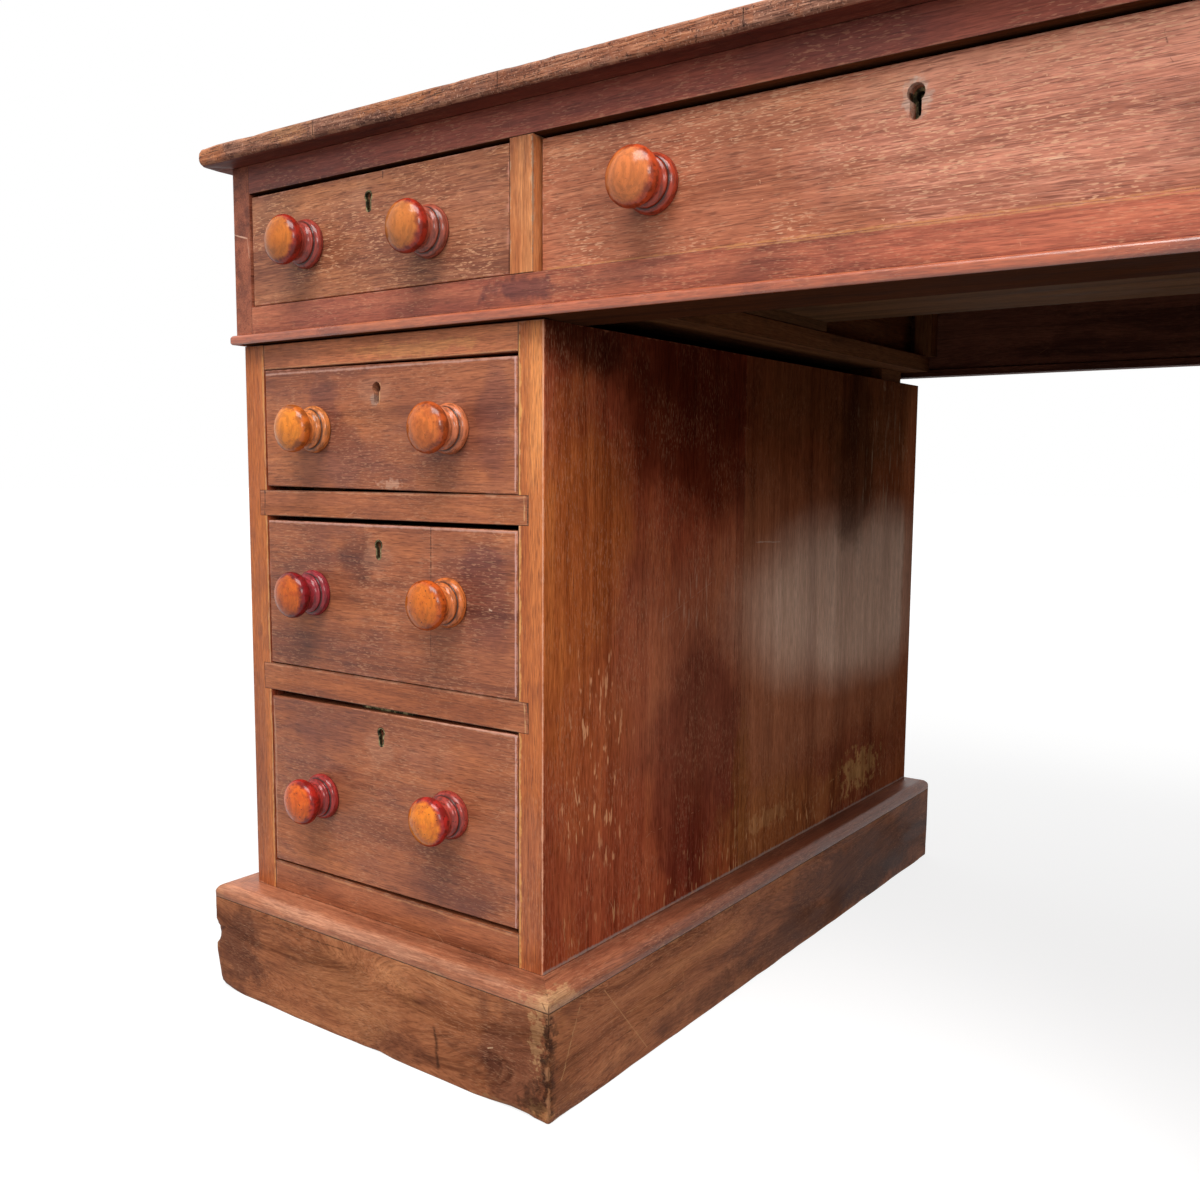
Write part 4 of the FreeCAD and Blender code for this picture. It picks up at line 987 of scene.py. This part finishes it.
def marks_on(drawer, box):
    """What one drawer's front shows of stains, rubbed places, cracks and a dirty keyhole, on most fronts
    with painted highlights along the top and right arrises, and on the frieze's centre front a partly
    painted sheen.
    """
    rub_and_light, line = painters(box)
    halo = rub_and_light((0.42, 0.53), (0.68, 0.9), (176, 122, 96), 0.4, 0.6, 60.0)
    depth = 0.0012 / (box[1].z - box[0].z)
    # Painted highlights: pale pink lines along the top and right arrises, where light catches their
    # rounding.
    painted_arris_highlights = (line((0.004, 1 - depth), (0.996, 1 - depth), 0.0022, (214, 166, 150), 0.6, 0.0012),
           line((0.994, 0.02), (0.994, 0.985), 0.0017, (222, 176, 170), 0.65, 0.0012))
    if drawer == "left_upper":
        return painted_arris_highlights + (
            rub_and_light((0.15, 0.36), (0.46, 1), (92, 52, 50), 0.6, 0.8, 18), halo,
            rub_and_light((0.26, 0.52), (0.06, 0.52), (100, 58, 54), 0.5, 0.9, 16),
            rub_and_light((0.86, 0.98), (0.02, 0.94), (104, 58, 54), 0.5),
            rub_and_light((0.36, 0.58), (0.48, 0.72), (170, 104, 68), 0.5),
            rub_and_light((0.02, 0.16), (0.04, 0.26), (166, 100, 66), 0.55),
            rub_and_light((0.72, 0.82), (0.66, 0.8), (176, 112, 84), 0.5, 0.7, 60),
            rub_and_light((0.5, 0.58), (0.01, 0.09), (206, 160, 136), 0.5, 1.2, 190),
            line((0.497, 0.7), (0.5, 0.86), 0.0016, (206, 158, 112), 0.75, 0.003),
            rub_and_light((0.462, 0.494), (0.68, 0.78), (150, 122, 110), 0.7, 0.6, 160),
        )
    if drawer == "left_middle":
        return painted_arris_highlights + (
            rub_and_light((0.31, 0.48), (0.62, 0.93), (84, 42, 36), 0.65), halo,
            rub_and_light((0.77, 0.98), (0.25, 0.95), (96, 50, 48), 0.6),
            rub_and_light((0.48, 0.71), (0.2, 0.9), (166, 96, 64), 0.5),
            rub_and_light((0.36, 0.69), (0.03, 0.2), (160, 92, 60), 0.5),
            rub_and_light((0, 0.2), (0, 0.24), (104, 58, 48), 0.5),
            line((0.692, 0.994), (0.69, 0.666), 0.001, (40, 20, 16), 0.85, 0.0012),
            line((0.689, 0.372), (0.688, 0.195), 0.0009, (40, 20, 16), 0.8, 0.0012),
            line((0.699, 0.98), (0.698, 0.7), 0.0012, (184, 124, 96), 0.45, 0.002),
            line((0.905, 0.52), (0.912, 0.515), 0.0016, (226, 196, 170), 0.9),
        )
    if drawer == "left_lower":
        return painted_arris_highlights + (
            rub_and_light((0.15, 0.5), (0.3, 0.62), (150, 92, 66), 0.5), halo,
            rub_and_light((0.6, 1), (0, 0.35), (96, 52, 44), 0.55),
            rub_and_light((0.55, 0.8), (0.72, 0.95), (156, 98, 76), 0.45),
            rub_and_light((0.05, 0.35), (0.7, 0.98), (112, 64, 54), 0.5),
            line((0.02, 0.99), (0.98, 0.99), 0.0024, (196, 146, 120), 0.6, 0.004),
            line((0.008, 0.05), (0.008, 0.95), 0.0026, (190, 136, 108), 0.6, 0.005),
            line((0.62, 0.2), (0.8, 0.17), 0.0008, (70, 36, 28), 0.5, 0.006),
        )
    if drawer == "frieze_left":
        return (
            halo, rub_and_light((0.02, 0.25), (0.55, 1), (108, 66, 52), 0.5),
            rub_and_light((0.7, 1), (0, 1), (160, 102, 78), 0.4),
            line((0.557, 0.995), (0.556, 0.93), 0.0012, (34, 18, 14), 0.9, 0.001),
            line((0.02, 0.012), (0.98, 0.012), 0.0016, (180, 124, 84), 0.5, 0.003),
        )
    if drawer == "frieze_centre":
        return (
            # Pale pink over the right part of the centre front: partly a faded place and partly painted
            # sheen.
            halo, rub_and_light((0.4, 0.95), (-0.1, 1.1), (200, 132, 112), 0.55, 0.4, 8),
            rub_and_light((0, 0.2), (0, 1), (146, 84, 58), 0.5, 0.5, 10),
            rub_and_light((0.22, 0.4), (0.45, 0.9), (146, 86, 64), 0.45, 0.6, 14),
            line((0.01, 0.015), (0.99, 0.015), 0.002, (196, 140, 88), 0.6, 0.003),
            line((0.735, 0.88), (0.75, 0.6), 0.0008, (80, 44, 34), 0.7, 0.01),
            line((0.62, 0.3), (0.66, 0.27), 0.0012, (226, 186, 156), 0.7, 0.004),
            line((0.33, 0.62), (0.345, 0.61), 0.0012, (226, 186, 156), 0.7, 0.003),
            rub_and_light((0.484, 0.516), (0.66, 0.88), (186, 160, 146), 0.7, 0.7, 160),
        )
    return painted_arris_highlights + (halo,)


# How far the corners of three fronts have moved up or down as their wood shrank and wore.
front_corners = {
    "left_upper": {"top_left": 0.0026, "bottom_left": 0.003, "bottom_right": -0.0005},
    "left_middle": {"bottom_right": -0.0005, "bottom_left": 0.0004},
    "left_lower": {"top_left": -0.004, "top_right": -0.0002, "bottom_left": 0.0008, "bottom_right": 0.0035},
}


def settle(shape, box, top_left=0.0, top_right=0.0, bottom_left=0.0, bottom_right=0.0):
    """Lets a front's top and bottom edges run out of true, and leaves its middle where it is."""
    reach = 0.14
    width, height = box[1].x - box[0].x, box[1].z - box[0].z
    for vertex in shape.verts:
        across = (vertex.co.x - box[0].x) / width
        up = (vertex.co.z - box[0].z) / height
        top = max(0.0, (up - 1 + reach) / reach) * (top_left * (1 - across) + top_right * across)
        bottom = max(0.0, (reach - up) / reach) * (bottom_left * (1 - across) + bottom_right * across)
        vertex.co.z += top + bottom


pedestal_knob, frieze_knob = 0.04, 0.0405
# How high the left and the right knob stand as shares of a front, the front's foot and its height.
knob_heights = {"upper": (0.496, 0.476, 0.4715, 0.1065), "middle": (0.51, 0.529, 0.3135, 0.135),
                "lower": (0.454, 0.521, 0.127, 0.162), "left": (0.476, 0.414, 0.6325, 0.097),
                "right": (0.414, 0.476, 0.6325, 0.097), "centre": (0.506, 0.506, 0.6325, 0.097)}
knob_pairs = {
    "left_upper": ("amber", "brown"), "left_middle": ("crimson", "speckled"), "left_lower": ("red", "gold"),
    "right_upper": ("old", "amber"), "right_middle": ("brown", "red"), "right_lower": ("crimson", "old"),
    "frieze_left": ("old", "olive"), "frieze_centre": ("rosy", "old"), "frieze_right": ("amber", "rosy"),
}
for drawer, pair in knob_pairs.items():
    body = drawer + "_drawer"
    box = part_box(drawer + "_front")
    kind = "pedestal"
    if drawer.startswith("frieze"):
        kind = "frieze_middle" if drawer == "frieze_centre" else "frieze_side"
    finish = wood(drawer + " front", figure=0.012, wear=0.0016, joint=0.0, worn=(196, 136, 116), gloss=0.3,
                  marks=marks_on(drawer, box), **front_tones[kind])
    shape = merged_copy(drawer + "_front")
    settle(shape, box, **front_corners.get(drawer, {}))
    finish_boards(drawer + "_front_worn", shape, [drawer + "_front"], body, [finish])
    shape = merged_copy(drawer + "_box")
    ease(shape, 0.0005)
    finish_boards(drawer + "_box_worn", shape, [drawer + "_box"], body, [box_wood],
                  grain_axis=across_if_wide)
    give(drawer + "_lock", brass)
    give(drawer + "_bolt", brass)
    knobs_low, knobs_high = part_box(drawer + "_knobs")
    size = frieze_knob if drawer.startswith("frieze") else pedestal_knob
    half = size * knob_arcs[0][1][0]
    first, second, foot, height = knob_heights[drawer.split("_")[1]]
    if drawer.startswith("right"):
        first, second = second, first
    for side, x, share, tone in (("left", knobs_low.x + half, first, pair[0]),
                                 ("right", knobs_high.x - half, second, pair[1])):
        turned_knob(f"{drawer}_{side}_knob", drawer + "_knobs", body, size, x, box[0].y,
                    foot + height * share, knob_finishes[tone])

# Top. A core panel with a border of cross-grained boards round it, whose edge is weathered and
# pitted, and an old leather writing surface let in flush.
top_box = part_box("top_border")
rub_and_light, line = painters(top_box)
top_marks = (
    line((0.116, 0), (0.116, 1), 0.001, (30, 18, 14), 0.85, 0.001),
    rub_and_light((-0.01, 0.03), (-0.2, 1.2), (178, 104, 62), 0.6, 0.6, 60),
    rub_and_light((0.08, 0.115), (0.2, 1.2), (182, 124, 84), 0.5, 1, 140),
    rub_and_light((0.03, 0.1), (-0.2, 0.4), (88, 50, 42), 0.5, 0.5, 60),
    rub_and_light((0.16, 0.24), (0.3, 1.2), (186, 118, 74), 0.45, 1.1, 120),
    rub_and_light((0.26, 0.44), (0, 1), (164, 98, 66), 0.45, 1.1, 110),
    rub_and_light((-0.6, 1), (-0.5, 1.5), (58, 34, 28), 0.75, 0.3, 40, veil=1, dashes=(60, 420)),
    rub_and_light((-0.6, 1), (-0.5, 1.5), (206, 160, 136), 0.5, 0.9, 60, veil=1, dashes=(90, 700)),
    line((0.006, 0.62), (0.1, 0.5), 0.0007, (40, 24, 20), 0.8, 0.004),
    line((0.02, 0.22), (0.085, 0.3), 0.0006, (40, 24, 20), 0.7, 0.003),
    line((0.205, 0.42), (0.232, 0.62), 0.0012, (30, 18, 14), 0.85, 0.003),
    line((0.13, 0.35), (0.2, 0.42), 0.0006, (44, 26, 22), 0.7, 0.004),
    line((0.25, 0.6), (0.36, 0.48), 0.0006, (44, 26, 22), 0.7, 0.004),
)
border_wood = wood("top border", (84, 48, 34), (128, 80, 56), (156, 104, 74), (76, 46, 36),
                   (160, 104, 66), figure=0.015, fibre=0.5, dust=0.4, wear=0.002, joint=0.0005, rough=0.5,
                   gloss=0.2, stains=0.6, worn=(164, 112, 72))
edge_wood = wood("weathered edge", (84, 50, 40), (138, 92, 74), (174, 128, 106), (72, 44, 38),
                 (172, 106, 70), fibre=0.7, dust=0.5, wear=0.0022, joint=0.0006, rough=0.6, gloss=0.15,
                 bump=0.9, stains=0.5, fades=0.4, streak=0.5, worn=(184, 132, 104), pale=(196, 150, 126),
                 by_place=True, marks=top_marks)
shape = merged_copy("top_border")
top_low, top_high = top_box
next_cut = 0.007
for axis in (0, 1):
    cut_across(shape, axis, both_ends(top_low[axis], top_high[axis], (0.001, 0.003, 0.0055, 0.0085)))
    steps = int((top_high[axis] - top_low[axis]) / next_cut)
    cut_across(shape, axis, [top_low[axis] + next_cut * step for step in range(3, steps - 2)])
cut_across(shape, 2, [top_low.z + place for place in (0.001, 0.0025, 0.0045, 0.007)])
cut_across(shape, 2, [top_high.z - place for place in (0.001, 0.0025, 0.0045)])
chance, nick_count = random.Random(11), 34
nicks = []
for _ in range(nick_count):
    x, y = chance.uniform(top_low.x, top_high.x), chance.choice((top_low.y, top_low.y, top_high.y))
    nicks.append(((x, y, chance.choice((top_low.z, top_high.z))), chance.uniform(0.001, 0.0035),
                  chance.uniform(0.006, 0.014)))
for x in (top_low.x, top_high.x):
    nicks += [((x, y, (top_low.z + top_high.z) / 2), 0.006, 0.024) for y in (top_low.y, top_high.y)]
round_off(shape.verts, top_low, top_high, 0.0032, 0.0026, most=0.0068, chips=nicks)


def cross_grain(low, high):
    """A border board's grain runs across it, towards the leather."""
    return 1 if high.y < -0.25 or low.y > back_from else 0


# The underside of the top's border, darker than its edge: partly its own tone and partly painted shade.
below_wood_and_shade = wood("under the top", (70, 32, 26), (104, 50, 38), (122, 62, 48), (62, 28, 24),
                  (114, 58, 44), figure=0.01, fibre=0.3, dust=0.15, wear=0.001, joint=0.0004, rough=0.5,
                  gloss=0.1, streak=0.2, worn=(164, 100, 76), by_place=True)


def border_finish(low, high, normal):
    """The border is polished above, weathered round its edge and smooth below, and darker there, partly as
    painted shade.
    """
    flat = 0.94
    if normal.z > flat:
        return 0
    return 2 if normal.z < -flat else 1


finish_boards("top_border_worn", shape, ["top_border"], "desk",
              [border_wood, edge_wood, below_wood_and_shade], grain_axis=cross_grain, pick=border_finish)
shape = merged_copy("top_core")
finish_boards("top_core_worn", shape, ["top_core"], "desk", [plain_wood])

leather, tree, shader = new_material("writing leather")
place = object_place(tree)
pebbles = add(tree, "TexVoronoi", {"Vector": place, "Scale": 900.0}, feature="DISTANCE_TO_EDGE")
worn = ramp(tree, cloud(tree, place, 5.0, 5.0, 0.6), 0.45, 0.7)
feed_all(tree, shader, {
    "Base Color": mix(tree, worn, tint(52, 70, 44), tint(92, 96, 58)),
    "Roughness": ramp(tree, worn, 0.0, 1.0, 0.42, 0.62),
    "Normal": relief(tree, pebbles.outputs["Distance"], 0.4, 0.0003),
})
give("writing_leather", leather)

steel, tree, shader = new_material("dull steel")
rust = ramp(tree, cloud(tree, object_place(tree), 260.0, 4.0), 0.45, 0.65)
feed_all(tree, shader, {
    "Base Color": mix(tree, rust, tint(120, 116, 110), tint(80, 50, 34)),
    "Roughness": ramp(tree, rust, 0.0, 1.0, 0.4, 0.7),
    "Metallic": 1.0,
})
give("top_screws", steel)
